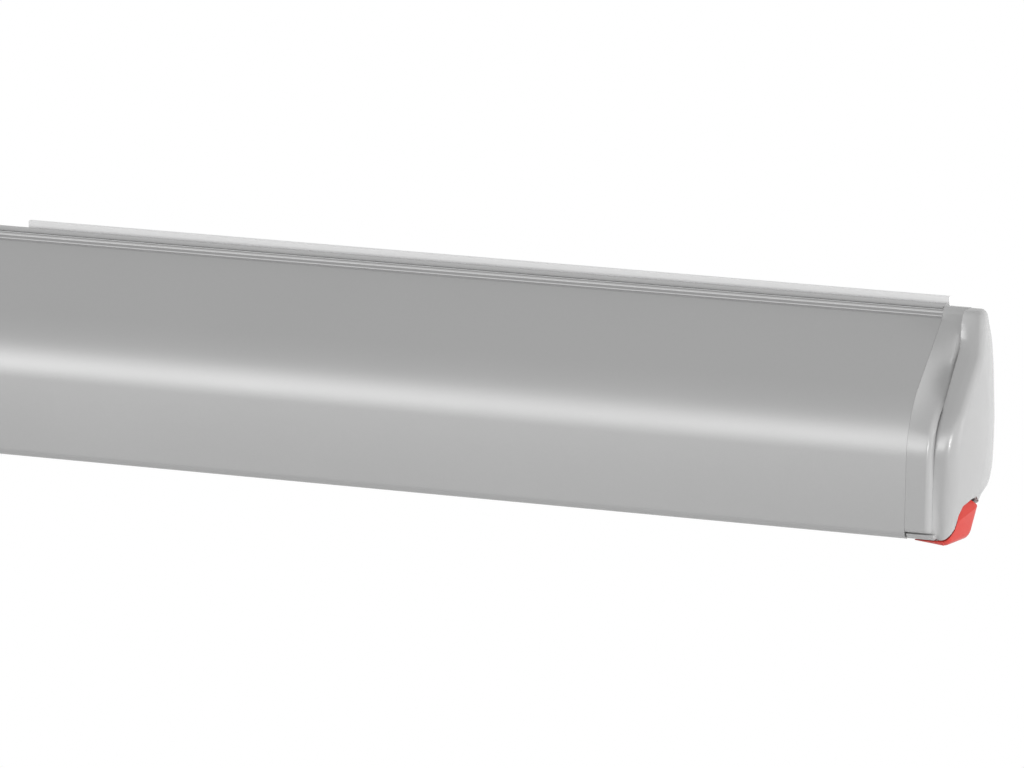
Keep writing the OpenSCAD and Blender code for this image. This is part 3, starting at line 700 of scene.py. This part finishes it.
@dataclass
class RailEndCap:
    """Moulded cap on one end of the front rail, hollowed towards its outer edge."""

    side: Side
    materials: Materials
    seam_x: float = 893.02
    thickness: float = 13.5
    edge_w: float = 3.4
    ridge_r: float = 3.0
    ridge_deg: float = 54.0
    fade: Pair = (98.0, 107.0)
    low_z: float = 7.6
    dip: Triple = (11.5, 79.5, 11.0)
    bulge: Triple = (4.5, 103.0, 7.0)
    wave_power: float = 1.6
    wave_d: float = 37.5
    slope_share: float = 0.66
    slope_steps: int = 16
    flat_rings: int = 5
    ridge_rings: int = 8
    peg_r: float = 2.9
    peg_span: Pair = (-14.0, 1.0)

    def corners(self) -> list[Corner]:
        """Corners of the cap's outline at the seam, with extra points along the upper slope.

        Returns:
            The corners in order.
        """
        top = [(32.5, 112, 0.5), (35.8, 112, 0.8), (37.2, 109, 1.5)]
        shares = [self.slope_share * i / self.slope_steps for i in range(1, self.slope_steps + 1)]
        slope = [Corner(*FACE_TOP.spot.lerp(FACE_BEND.spot, share)) for share in shares]
        back = [(89.75, self.low_z, 2.3, 6), (60, self.low_z, 0.5), (60, 62, 0.5), (32.5, 91, 0.5)]
        return [*(Corner(*c) for c in top), FACE_TOP, *slope, FACE_BEND, *(Corner(*c) for c in back)]

    @property
    def round_w(self) -> float:
        """Width of the round part of the ridge along the case."""
        return self.ridge_r * math.sin(math.radians(self.ridge_deg))

    @staticmethod
    def bell(z: float, wave: Triple) -> float:
        """Depth of a bell-shaped wave, given as depth, middle and width, at one height."""
        return wave[0] * math.exp(-(((z - wave[1]) / wave[2]) ** 2))

    def station(self, share: float) -> Triple:
        """Where a ring of the cap lies.

        Args:
            share: Share of the cap's thickness.

        Returns:
            Its length position, its inset and its share of the waves.
        """
        x = self.thickness * share
        past = max(0.0, x - (self.thickness - self.edge_w))
        inset = self.ridge_r - math.sqrt(self.ridge_r ** 2 - min(past, self.round_w) ** 2)
        inset += max(0.0, past - self.round_w) * math.tan(math.radians(self.ridge_deg))
        return x, inset, 1 - (1 - share) ** self.wave_power

    def shares(self) -> list[float]:
        """Shares of the thickness at which the rings lie, close together on the round ridge.

        Returns:
            The shares in order.
        """
        start, ridge = 1 - self.edge_w / self.thickness, self.round_w / self.thickness
        flat = [start * i / self.flat_rings for i in range(1, self.flat_rings + 1)]
        return flat + [start + ridge * i / self.ridge_rings for i in range(1, self.ridge_rings + 1)] + [1.0]

    def build(self) -> Object:
        """Builds and dresses the cap.

        Returns:
            The cap piece.
        """
        bm = bmesh.new()
        loop = OutlinePen(bm, self.seam_x).rounded(self.corners())
        bm.faces.new(loop)
        spots, normals = [side_view(v.co) for v in loop], inward(loop)
        for share in self.shares():
            x, inset, wave = self.station(share)
            targets = []
            for spot, normal in zip(spots, normals):
                front = 1.0 if spot.x > self.wave_d and normal.x < FRONT_FACING else 0.0
                draw = front * wave * (self.bell(spot.y, self.dip) - self.bell(spot.y, self.bulge))
                moved = spot + Vector((normal.x, 0.0)) * inset * fade_share(spot.y, self.fade)
                targets.append(place(self.seam_x + x, moved.x - draw, moved.y))
            loop = grow_ring(bm, loop, targets)
        bm.faces.new(loop)
        extruded(bm, *(self.seam_x + x for x in self.peg_span), round_corners(*BEAD, self.peg_r))
        settle(bm, self.side)
        name = f"rail_end_cap_{self.side.label}"
        piece = finish_piece(bm, name, self.materials["cap_grey"], sharp_deg=40.0)
        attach(piece, "lead_rail")
        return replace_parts(piece, f"rail_cap_{self.side.label}")


@dataclass
class CapForm:
    """Domed form of the outer end cap, from which the cap and the red lever are both cut."""

    seam_x: float = 893.0
    rim: float = 13.6
    reach: float = 28.8
    fall: float = 10.6
    sag: float = 0.0013
    crown: Pair = (57.0, 60.0)
    fall_span: float = 44.0
    edge_r: float = 3.2
    front_edge_r: float = 5.5
    front_edge_spans: tuple[Pair, Pair] = ((8.0, 24.0), (54.0, 72.0))
    edge_steps: int = 8
    rim_rise: Outline = (
        (3.0, -2.4), (8.0, 2.4), (30.0, 0.9), (40.0, 0.1), (50.0, -0.8), (58.0, -1.2), (70.0, -2.4),
        (98.0, -2.4), (107.0, 0.0), (120.0, 0.0))
    rim_share: float = 0.85
    shoulder: float = 1.8
    shoulder_span: Pair = (93.0, 110.0)
    shoulder_back: Pair = (34.0, 41.0)
    flank_shares: tuple[float, ...] = (0.06, 0.12, 0.19, 0.27, 0.36, 0.46, 0.57, 0.69, 0.84)
    belly_heights: range = range(8, 39, 6)
    shoulder_percents: range = range(28, 85, 8)
    centre: Pair = (43.5, 60.0)
    dome_rings: int = 12
    dome_draw: float = 0.96

    def corners(self) -> list[Corner]:
        """Corners of the outline, with the ogee at the front and the notch behind the lever.

        Returns:
            The corners in order.
        """
        low, bend = Corner(84.5, 0.9, 4, 8), Corner(84.3, 58, 34, 20)
        neck, top = Corner(52.5, 93.4, 30, 10), Corner(41.8, 112, 5, 8)
        belly = [low.spot.lerp(bend.spot, (z - low.z) / (bend.z - low.z)) for z in self.belly_heights]
        shoulder = [neck.spot.lerp(top.spot, percent / 100) for percent in self.shoulder_percents]
        return [Corner(13, 27, 35, 16), Corner(53, 19.6, 5, 6), Corner(61, 0.9, 6, 8),
                low, *(Corner(*p) for p in belly), bend, neck, *(Corner(*p) for p in shoulder), top,
                Corner(32.5, 112, 5, 6), Corner(13, 93, 10, 8)]

    def dome_x(self, flat: Vector) -> float:
        """How far the domed face stands past the seam at a side-view point."""
        off = flat - Vector(self.crown)
        return self.reach - self.fall * (off.x / self.fall_span) ** 2 - self.sag * off.y ** 2

    def rim_height(self, z: float) -> float:
        """How far the rim stands over the outline at a height, or below it in the groove.

        Args:
            z: Height in mm.

        Returns:
            The distance in mm.
        """
        for (z0, low), (z1, high) in zip(self.rim_rise, self.rim_rise[1:]):
            if z <= z1:
                return low + (high - low) * max(0.0, (z - z0) / (z1 - z0))
        return self.rim_rise[-1][1]

    def edge_at(self, flat: Vector, normal: Vector) -> float:
        """Radius of the round edge over an outline point, larger at the front.

        Args:
            flat: Outline point.
            normal: Unit vector into the outline.

        Returns:
            The radius in mm.
        """
        if normal.x > FRONT_FACING:
            return self.edge_r
        low, high = self.front_edge_spans
        share = (1 - fade_share(flat.y, low)) * fade_share(flat.y, high)
        return self.edge_r + share * (self.front_edge_r - self.edge_r)

    def flank_spot(self, flat: Vector, normal: Vector, share: float) -> Vector:
        """Point of the flank over an outline point.

        The flank starts where the rail's cap ends and stands forward at the top.

        Args:
            flat: Outline point.
            normal: Unit vector into the outline.
            share: Share of the way from the rim to the round edge.

        Returns:
            The side-view point.
        """
        rise = -self.rim_height(flat.y)
        if normal.x >= BACK_FACING:
            rise = max(0.0, rise)
        shoulder = self.shoulder * max(0.0, 1 - share) ** 2
        for value, span in ((flat.y, self.shoulder_span), (flat.x, self.shoulder_back)):
            shoulder *= 1 - fade_share(value, span)
        return flat + normal * rise * max(0.0, 1 - share / self.rim_share) ** 2 + Vector((shoulder, 0.0))

    def build(self) -> BMesh:
        """Builds the open dome.

        Returns:
            A mesh with its rim open.
        """
        bm = bmesh.new()
        loop = OutlinePen(bm, self.seam_x + self.rim).rounded(self.corners())
        normals = inward(loop)
        flats = [side_view(v.co) for v in loop]
        edges = [self.edge_at(f, n) for f, n in zip(flats, normals)]
        for vert, flat, normal in zip(loop, flats, normals):
            spot = self.flank_spot(flat, normal, 0.0)
            vert.co = place(self.seam_x + self.rim, spot.x, spot.y)
        for share in self.flank_shares:
            tops = [self.rim + share * (self.dome_x(f) - e - self.rim) for f, e in zip(flats, edges)]
            spots = [self.flank_spot(f, n, share) for f, n in zip(flats, normals)]
            loop = grow_ring(bm, loop, [place(self.seam_x + x, s.x, s.y) for s, x in zip(spots, tops)])
        for i in range(self.edge_steps + 1):
            turn = math.radians(90 * i / self.edge_steps)
            drawn = [f + n * e * (1 - math.cos(turn)) for f, n, e in zip(flats, normals, edges)]
            tops = [self.dome_x(p) - e * (1 - math.sin(turn)) for p, e in zip(drawn, edges)]
            loop = grow_ring(bm, loop, [place(self.seam_x + x, p.x, p.y) for p, x in zip(drawn, tops)])
        middle = Vector(self.centre)
        for i in range(1, self.dome_rings + 1):
            scaled = [middle + (p - middle) * (1 - self.dome_draw * i / self.dome_rings) for p in drawn]
            loop = grow_ring(bm, loop, [place(self.seam_x + self.dome_x(p), p.x, p.y) for p in scaled])
        bm.faces.new(loop)
        bmesh.ops.recalc_face_normals(bm, faces=bm.faces)
        return bm


def inside(spot: Vector, ring: Outline) -> bool:
    """Tells whether a side-view point lies inside a closed polygon.

    Args:
        spot: Side-view point.
        ring: Corners of the polygon.

    Returns:
        True if it lies inside.
    """
    hit = False
    for (ax, ay), (bx, by) in neighbours(ring):
        if (ay > spot.y) != (by > spot.y) and spot.x < (bx - ax) * (spot.y - ay) / (by - ay) + ax:
            hit = not hit
    return hit


def cut_plane(bm: BMesh, spot: Vector, normal: Vector) -> None:
    """Cuts the faces of a mesh where a plane crosses them."""
    bmesh.ops.bisect_plane(bm, geom=[*bm.verts, *bm.edges, *bm.faces], dist=CUT_DIST, plane_co=spot,
                           plane_no=normal)


def cut_along(bm: BMesh, ring: Outline, x_span: Pair, keep_inside: bool) -> None:
    """Cuts a mesh along the edges of a side-view polygon and deletes one part.

    Args:
        bm: Mesh to cut.
        ring: Polygon in millimetres.
        x_span: Length positions between which the polygon reaches.
        keep_inside: Whether the part inside the polygon stays, or the rest.
    """
    for x in x_span:
        cut_plane(bm, place(x, 0, 0), Vector((1, 0, 0)))
    for (ad, az), (bd, bz) in neighbours(ring):
        cut_plane(bm, place(0, ad, az), Vector((0, bz - az, bd - ad)).normalized())
    gone = []
    for face in bm.faces:
        middle = face.calc_center_median()
        hit = x_span[0] < middle.x / MM < x_span[1] and inside(side_view(middle), ring)
        if hit != keep_inside:
            gone.append(face)
    bmesh.ops.delete(bm, geom=gone, context="FACES")
    loose = [v for v in bm.verts if not v.link_faces]
    bmesh.ops.delete(bm, geom=loose, context="VERTS")


def thicken(bm: BMesh, thickness: float) -> None:
    """Gives an open skin a thickness, inwards along its vertex normals.

    Args:
        bm: Mesh with its faces pointing outwards.
        thickness: Thickness in millimetres.
    """
    bmesh.ops.remove_doubles(bm, verts=bm.verts, dist=WELD_DIST)
    bmesh.ops.recalc_face_normals(bm, faces=bm.faces)
    bm.normal_update()
    normals = {tuple(v.co): v.normal.copy() for v in bm.verts}
    made = bmesh.ops.extrude_face_region(bm, geom=bm.faces[:], use_keep_orig=True)["geom"]
    for vert in (g for g in made if isinstance(g, BMVert)):
        vert.co -= normals[tuple(vert.co)] * thickness * MM


@dataclass
class EndCap:
    """Outer end cap: a domed shell with a pocket for the lever and a lip under its front corner."""

    side: Side
    materials: Materials
    form: CapForm = field(default_factory=CapForm)
    wall: float = 2.2
    pocket_x: float = 15.0
    arm_x: float = 21.2
    skin_room: Outline = (
        (53.4, -8), (98, -8), (96.35, 3.1), (84.85, 3.7), (82.35, 6.6), (79.25, 9.3), (77.05, 16.0),
        (73.85, 20.1), (65.65, 21.8), (60.95, 21.8), (59.9, 22.2), (54.3, 17.4))
    arm_room: Outline = ((36, -8), (51, -8), (51, 26), (36, 26))
    bosses: Outline = ((20, 88), (20, 62), (51, 35))
    boss_r: float = 4.0
    boss_x: float = 4.0
    boss_inset: float = 1.0
    web: Outline = ((40, 22), (53, 21), (61, 4.4), (84, 4.4), (84, 8.4), (75.6, 12.6), (72.4, 20), (62, 32.6),
                    (40, 32.6))
    lip: Outline = ((72, 7.3), (78, 4.5), (87, 4.5), (89.3, 7.3))
    lip_x: float = 0.4
    tab: tuple[float, ...] = (74, 4.8, 85.2, 6.7)
    tab_span: Pair = (-6.0, 1.0)
    spring_seat: tuple[float, ...] = (40, 31, 50, 32.6)
    seat_x: float = 20.6
    corner_r: float = 0.4
    bevel: float = 0.3

    def build(self) -> Object:
        """Builds and dresses the cap.

        Returns:
            The cap piece.
        """
        seam = self.form.seam_x
        rim, pocket = seam + self.form.rim, seam + self.pocket_x
        bm = self.form.build()
        cut_along(bm, self.skin_room, (pocket, seam + FAR_X), False)
        cut_along(bm, self.arm_room, (pocket, seam + self.arm_x), False)
        thicken(bm, self.wall)
        for d, z in self.bosses:
            top = self.form.dome_x(Vector((d - self.boss_r, z))) - self.boss_inset
            extruded(bm, seam + self.boss_x, seam + top, round_corners(d, z, self.boss_r))
        extruded(bm, rim, pocket, softened(self.web, self.corner_r))
        extruded(bm, seam + self.lip_x, pocket, softened(self.lip, self.corner_r), self.bevel)
        extruded(bm, *(seam + x for x in self.tab_span), box_corners(*self.tab))
        extruded(bm, rim, seam + self.seat_x, box_corners(*self.spring_seat))
        settle(bm, self.side)
        piece = finish_piece(bm, f"outer_cap_{self.side.label}", self.materials["cap_grey"], sharp_deg=38.0)
        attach(piece, "case")
        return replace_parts(piece, f"end_cap_{self.side.label}")


@dataclass
class ReleaseLever:
    """Red release lever: a skin that carries on the dome of the cap, a root and a tongue under the rail."""

    side: Side
    materials: Materials
    form: CapForm = field(default_factory=CapForm)
    wall: float = 2.4
    lever_x: float = 15.6
    arm_x: float = 20.6
    skin: Outline = ((54, -8), (96, -8), (96, 2.2), (84.5, 2.8), (82, 5.7), (78.9, 8.4), (76.7, 15.1),
                     (73.5, 19.2), (65.3, 20.9), (60.6, 20.9), (55.5, 16.5))
    arm: Outline = ((40, 21.4), (52, 20), (60, 8), (66, 8), (66, 19.6), (58, 20.6), (50, 24.4), (40, 24.4))
    tongue: Outline = ((71, 3.6), (75, 1.2), (83, 1.2), (85.5, 3.6))
    tongue_x: Pair = (3.5, 18.6)
    tongue_taper: float = 1.6
    fold: tuple[Pair, Pair] = ((73.1, 13.5), (56.8, 16.3))
    fold_slope: float = 0.7
    corner_r: float = 0.5
    bevel: float = 0.3

    def fold_top(self, bm: BMesh) -> None:
        """Turns the strip of the skin above the fold line inwards.

        Args:
            bm: Mesh of the skin.
        """
        a, b = (Vector(p) for p in self.fold)
        up = Vector((b.y - a.y, a.x - b.x)).normalized()
        cut_plane(bm, place(0, *a), Vector((0, -up.x, up.y)))
        for vert in bm.verts:
            above = (side_view(vert.co) - a).dot(up)
            if above > TINY:
                vert.co.x -= above * self.fold_slope * MM

    def add_tongue(self, bm: BMesh) -> None:
        """Adds the tongue, which gets flatter towards its tip under the rail.

        Args:
            bm: Mesh to add to.
        """
        seam = self.form.seam_x
        start, end = self.tongue_x
        seen = set(bm.verts)
        extruded(bm, seam + start, seam + end, softened(self.tongue, self.corner_r), self.bevel)
        root, low = self.tongue[0][1], self.tongue[1][1]
        for vert in set(bm.verts) - seen:
            tip = (end - (vert.co.x / MM - seam)) / (end - start)
            vert.co.z += self.tongue_taper * MM * tip * (root - side_view(vert.co).y) / (root - low)

    def build(self) -> Object:
        """Builds and dresses the lever.

        Returns:
            The lever piece.
        """
        seam = self.form.seam_x
        bm = self.form.build()
        cut_along(bm, self.skin, (seam + self.lever_x, seam + FAR_X), True)
        self.fold_top(bm)
        thicken(bm, self.wall)
        extruded(bm, seam + self.lever_x, seam + self.arm_x, softened(self.arm, self.corner_r), self.bevel)
        self.add_tongue(bm)
        settle(bm, self.side)
        piece = finish_piece(bm, f"red_lever_{self.side.label}", self.materials["lever_red"], sharp_deg=34.0)
        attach(piece, f"lever_{self.side.label}")
        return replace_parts(piece, f"lever_{self.side.label}")


@dataclass
class LeverSpring:
    """Small coil between the arm of a lever and its seat in the cap."""

    side: Side
    materials: Materials
    spot: Pair = (911.0, 45.0)
    low_z: float = 24.45
    high_z: float = 30.95
    coil_r: float = 1.7
    wire_r: float = 0.35
    wire_sides: int = 8
    turns: int = 4
    rings_per_turn: int = 16
    keep: float = 0.56

    def ring(self, share: float) -> list[Vector]:
        """Draws one ring of the wire.

        Args:
            share: Share of the coil's height.

        Returns:
            The places of its points.
        """
        turn = 2 * math.pi * self.turns * share
        z = self.low_z + self.wire_r + share * (self.high_z - self.low_z - 2 * self.wire_r)
        x, d = self.spot
        ring = []
        for j in range(self.wire_sides):
            u = 2 * math.pi * j / self.wire_sides
            r = self.coil_r + self.wire_r * math.cos(u)
            ring.append(place(x + r * math.cos(turn), d + r * math.sin(turn), z + self.wire_r * math.sin(u)))
        return ring

    def build(self) -> Object:
        """Builds and dresses the spring.

        Returns:
            The spring piece.
        """
        bm = bmesh.new()
        made = bmesh.ops.create_circle(bm, segments=self.wire_sides, radius=self.wire_r * MM, cap_ends=True)
        loop = made["verts"]
        for vert, target in zip(loop, self.ring(0.0)):
            vert.co = target
        steps = self.turns * self.rings_per_turn
        for i in range(1, steps + 1):
            loop = grow_ring(bm, loop, self.ring(i / steps))
        bm.faces.new(loop)
        settle(bm, self.side)
        label = self.side.label
        piece = finish_piece(bm, f"lever_coil_{label}", self.materials["spring_steel"], sharp_deg=60.0)
        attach(piece, "case")
        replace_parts(piece, f"lever_spring_{label}")
        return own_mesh(piece)


@dataclass
class Canopy:
    """Coated canopy: wound on the roller, with a short free stretch to the rail."""

    materials: Materials
    half_width: float = 868.0
    axis: Pair = (40.0, 48.0)
    inner_r: float = 20.1
    outer_r: float = 26.8
    turns: int = 12
    steps_per_turn: int = 40
    stretch_steps: int = 60
    stretch_cuts: int = 40
    stretch_sag: float = 0.2
    held_ends: Pair = (2.0, 1.0)
    cloth_t: float = 0.4

    def cloth(self, bm: BMesh, name: str, offset: float, cuts: int = 0) -> Object:
        """Draws a row of edges out to the width of the canopy and gives it a thickness.

        Args:
            bm: Mesh with the row at the left, which is freed.
            name: Name of the piece.
            offset: Side of the sheet to which the thickness goes, from -1 to 1.
            cuts: Number of cuts along the width.

        Returns:
            The piece.
        """
        draw_along(bm, bmesh.ops.extrude_edge_only(bm, edges=bm.edges[:])["geom"], 2 * self.half_width)
        if cuts:
            wide = [e for e in bm.edges if abs(e.verts[0].co.x - e.verts[1].co.x) > self.half_width * MM]
            bmesh.ops.subdivide_edges(bm, edges=wide, cuts=cuts, use_grid_fill=True)
        bmesh.ops.recalc_face_normals(bm, faces=bm.faces)
        piece = finish_piece(bm, name, self.materials["canopy"], sharp_deg=60.0)
        thick = piece.modifiers.new("cloth", "SOLIDIFY")
        thick.thickness = self.cloth_t * MM
        thick.offset = offset
        return piece

    def roll(self) -> Object:
        """Builds the wound stretch as one spiral sheet.

        Returns:
            The roll, which turns with the roller.
        """
        bm = bmesh.new()
        pen = OutlinePen(bm, -self.half_width)
        centre = Vector(self.axis)
        pen.line(centre + Vector((0, self.inner_r)))
        pen.arc(centre, 2 * math.pi * self.turns, self.turns * self.steps_per_turn)
        last = len(pen.path) - 1
        for i, vert in enumerate(pen.path):
            grow = (self.inner_r + (self.outer_r - self.inner_r) * i / last) / self.inner_r
            spot = centre + (side_view(vert.co) - centre) * grow
            vert.co = place(-self.half_width, spot.x, spot.y)
        piece = self.cloth(bm, "canopy_wound", offset=-1.0)
        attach(piece, "roller")
        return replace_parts(piece, "canopy_roll")

    def stretch(self) -> Object:
        """Builds the free stretch from the roll to the bead.

        Returns:
            The stretch.
        """
        bm = bmesh.new()
        last = bm.verts.new(place(-self.half_width, self.axis[0], self.axis[1] + self.outer_r))
        run = BEAD[0] - self.axis[0]
        for i in range(1, self.stretch_steps + 1):
            share = i / self.stretch_steps
            last = bmesh.ops.extrude_vert_indiv(bm, verts=[last])["verts"][0]
            last.co = place(-self.half_width, self.axis[0] + run * share,
                            BEAD[1] - self.stretch_sag * (1 - share))
        piece = self.cloth(bm, "canopy_stretch", offset=0.0, cuts=self.stretch_cuts)
        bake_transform(piece)
        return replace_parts(piece, "canopy_sheet")


# Studio


@dataclass(frozen=True)
class Softbox:
    """Rectangular soft light that looks at a point and may be kept out of reflections."""

    name: str
    spot: Triple
    aim: Triple
    size: Pair
    power: float
    mirrored: bool = True

    def build(self) -> None:
        """Makes the light."""
        data = bpy.data.lights.new(self.name, "AREA")
        data.shape = "RECTANGLE"
        data.size, data.size_y = self.size
        data.energy = self.power
        light = bpy.data.objects.new(self.name, data)
        light.location = self.spot
        light.rotation_euler = (Vector(self.aim) - Vector(self.spot)).to_track_quat("-Z", "Y").to_euler()
        light.visible_glossy = self.mirrored
        bpy.context.scene.collection.objects.link(light)


SOFTBOXES = (
    Softbox("front_strip", spot=(-1.2, -3.2, 0.64), aim=(0.6, -0.06, 0.0), size=(2.6, 0.54), power=26.0),
    Softbox("upper_strip", spot=(-0.6, -3.1, 1.25), aim=(0.6, -0.06, 0.0), size=(3.6, 0.7), power=19.5),
    Softbox("ridge_light", spot=(1.9, -3.4, 0.7), aim=(0.9, -0.06, 0.0), size=(0.4, 0.5), power=24.0),
    Softbox("right_fill", spot=(4.2, -0.1, 0.4), aim=(0.9, -0.05, 0.0), size=(1.6, 1.6), power=110.0,
            mirrored=False),
)


@dataclass
class Studio:
    """Pale floor, soft light and the camera of the photograph."""

    floor_z: float = -1.80
    floor_r: float = 90.0
    floor_grey: float = 0.8
    floor_roughness: float = 0.9
    room_light: float = 0.45
    azimuth: float = 23.759
    elevation: float = 12.719
    roll: float = -0.484
    focal_px: float = 9389.3
    distance: float = 4.7674
    aim: Triple = (0.66775, -0.060, -0.0084)
    image_width: int = 1024
    sensor: float = 36.0

    def camera(self) -> None:
        """Makes the camera at the photograph's viewing angle."""
        az, el, roll = (math.radians(a) for a in (self.azimuth, self.elevation, self.roll))
        back = Vector((math.sin(az) * math.cos(el), -math.cos(az) * math.cos(el), math.sin(el)))
        turn = back.to_track_quat("Z", "Y").to_matrix().to_4x4() @ Matrix.Rotation(roll, 4, "Z")
        data = bpy.data.cameras.new("photo_camera")
        data.sensor_width = self.sensor
        data.lens = self.focal_px / self.image_width * self.sensor
        data.clip_end = 400.0
        camera = bpy.data.objects.new("photo_camera", data)
        camera.matrix_world = Matrix.Translation(Vector(self.aim) + back * self.distance) @ turn
        bpy.context.scene.collection.objects.link(camera)
        bpy.context.scene.camera = camera

    @staticmethod
    def _white_when_seen(tree: NodeTree, usual: Node, white: Node, end: str) -> None:
        """Shows a white shader to camera, glossy and transmission rays, and the usual one to all others.

        Args:
            tree: Node tree of the surface.
            usual: Shader for all other rays.
            white: White shader.
            end: Name of the output node.
        """
        path = add_node(tree, "LightPath").outputs
        seen = path["Is Camera Ray"]
        for other in ("Is Glossy Ray", "Is Transmission Ray"):
            seen = calc(tree, "MAXIMUM", seen, path[other])
        mix = add_node(tree, "MixShader", {"Fac": seen, 1: usual.outputs[0], 2: white.outputs[0]})
        wire(tree, tree.nodes[end], {"Surface": mix.outputs["Shader"]})

    def floor(self) -> None:
        """Makes the pale floor, which shows white to the camera and keeps a soft shadow."""
        bm = bmesh.new()
        bmesh.ops.create_circle(bm, cap_ends=True, cap_tris=False, segments=64, radius=self.floor_r)
        bmesh.ops.translate(bm, verts=bm.verts, vec=(0, 0, self.floor_z))
        material, tree, shader = new_material("pale_floor")
        grey = self.floor_grey
        wire(tree, shader, {"Base Color": (grey, grey, grey, 1), "Roughness": self.floor_roughness})
        white = add_node(tree, "Emission", {"Color": (1, 1, 1, 1)})
        self._white_when_seen(tree, shader, white, "Material Output")
        finish_piece(bm, "floor", material)

    def world(self) -> None:
        """Makes the even room light, white where the camera sees it."""
        world = bpy.data.worlds.new("room")
        bpy.context.scene.world = world
        world.use_nodes = True
        tree = world.node_tree
        room = tree.nodes["Background"]
        wire(tree, room, {"Color": (1, 1, 1, 1), "Strength": self.room_light})
        white = add_node(tree, "Background", {"Color": (1, 1, 1, 1)})
        self._white_when_seen(tree, room, white, "World Output")

    def build(self) -> None:
        """Sets up the whole studio."""
        self.camera()
        self.floor()
        self.world()
        for light in SOFTBOXES:
            light.build()
        bpy.context.scene.view_settings.view_transform = "Standard"


def dress_nodes(frame: dict, materials: Materials) -> None:
    """Gives every CAD node the finish of its slot.

    Args:
        frame: Loaded frame.
        materials: Material of each slot.
    """
    for part in frame["record"]["subparts"]:
        node = frame["nodes"][part["node"]]
        node.data.materials.clear()
        node.data.materials.append(materials[part["material_slot"]])


def main() -> None:
    """Builds the awning's dressed pieces in order and reports each one."""
    logging.basicConfig(level=logging.INFO, format="%(name)s: %(message)s")
    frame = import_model()
    Studio().build()
    groups = GroupMaker()
    materials = {finish.slot: finish.build(groups) for finish in FINISHES}
    dress_nodes(frame, materials)
    makers: list[Callable[[], Object]] = [FrontRail(materials).build]
    for side in Side:
        makers += [maker(side, materials).build for maker in (RailEndCap, EndCap, ReleaseLever, LeverSpring)]
    canopy = Canopy(materials)
    makers += [canopy.roll, canopy.stretch]
    for make in makers:
        piece = make()
        LOG.info("%s: %d faces", piece.name, len(piece.data.polygons))
    bpy.context.view_layer.update()


if __name__ == "__main__":
    main()
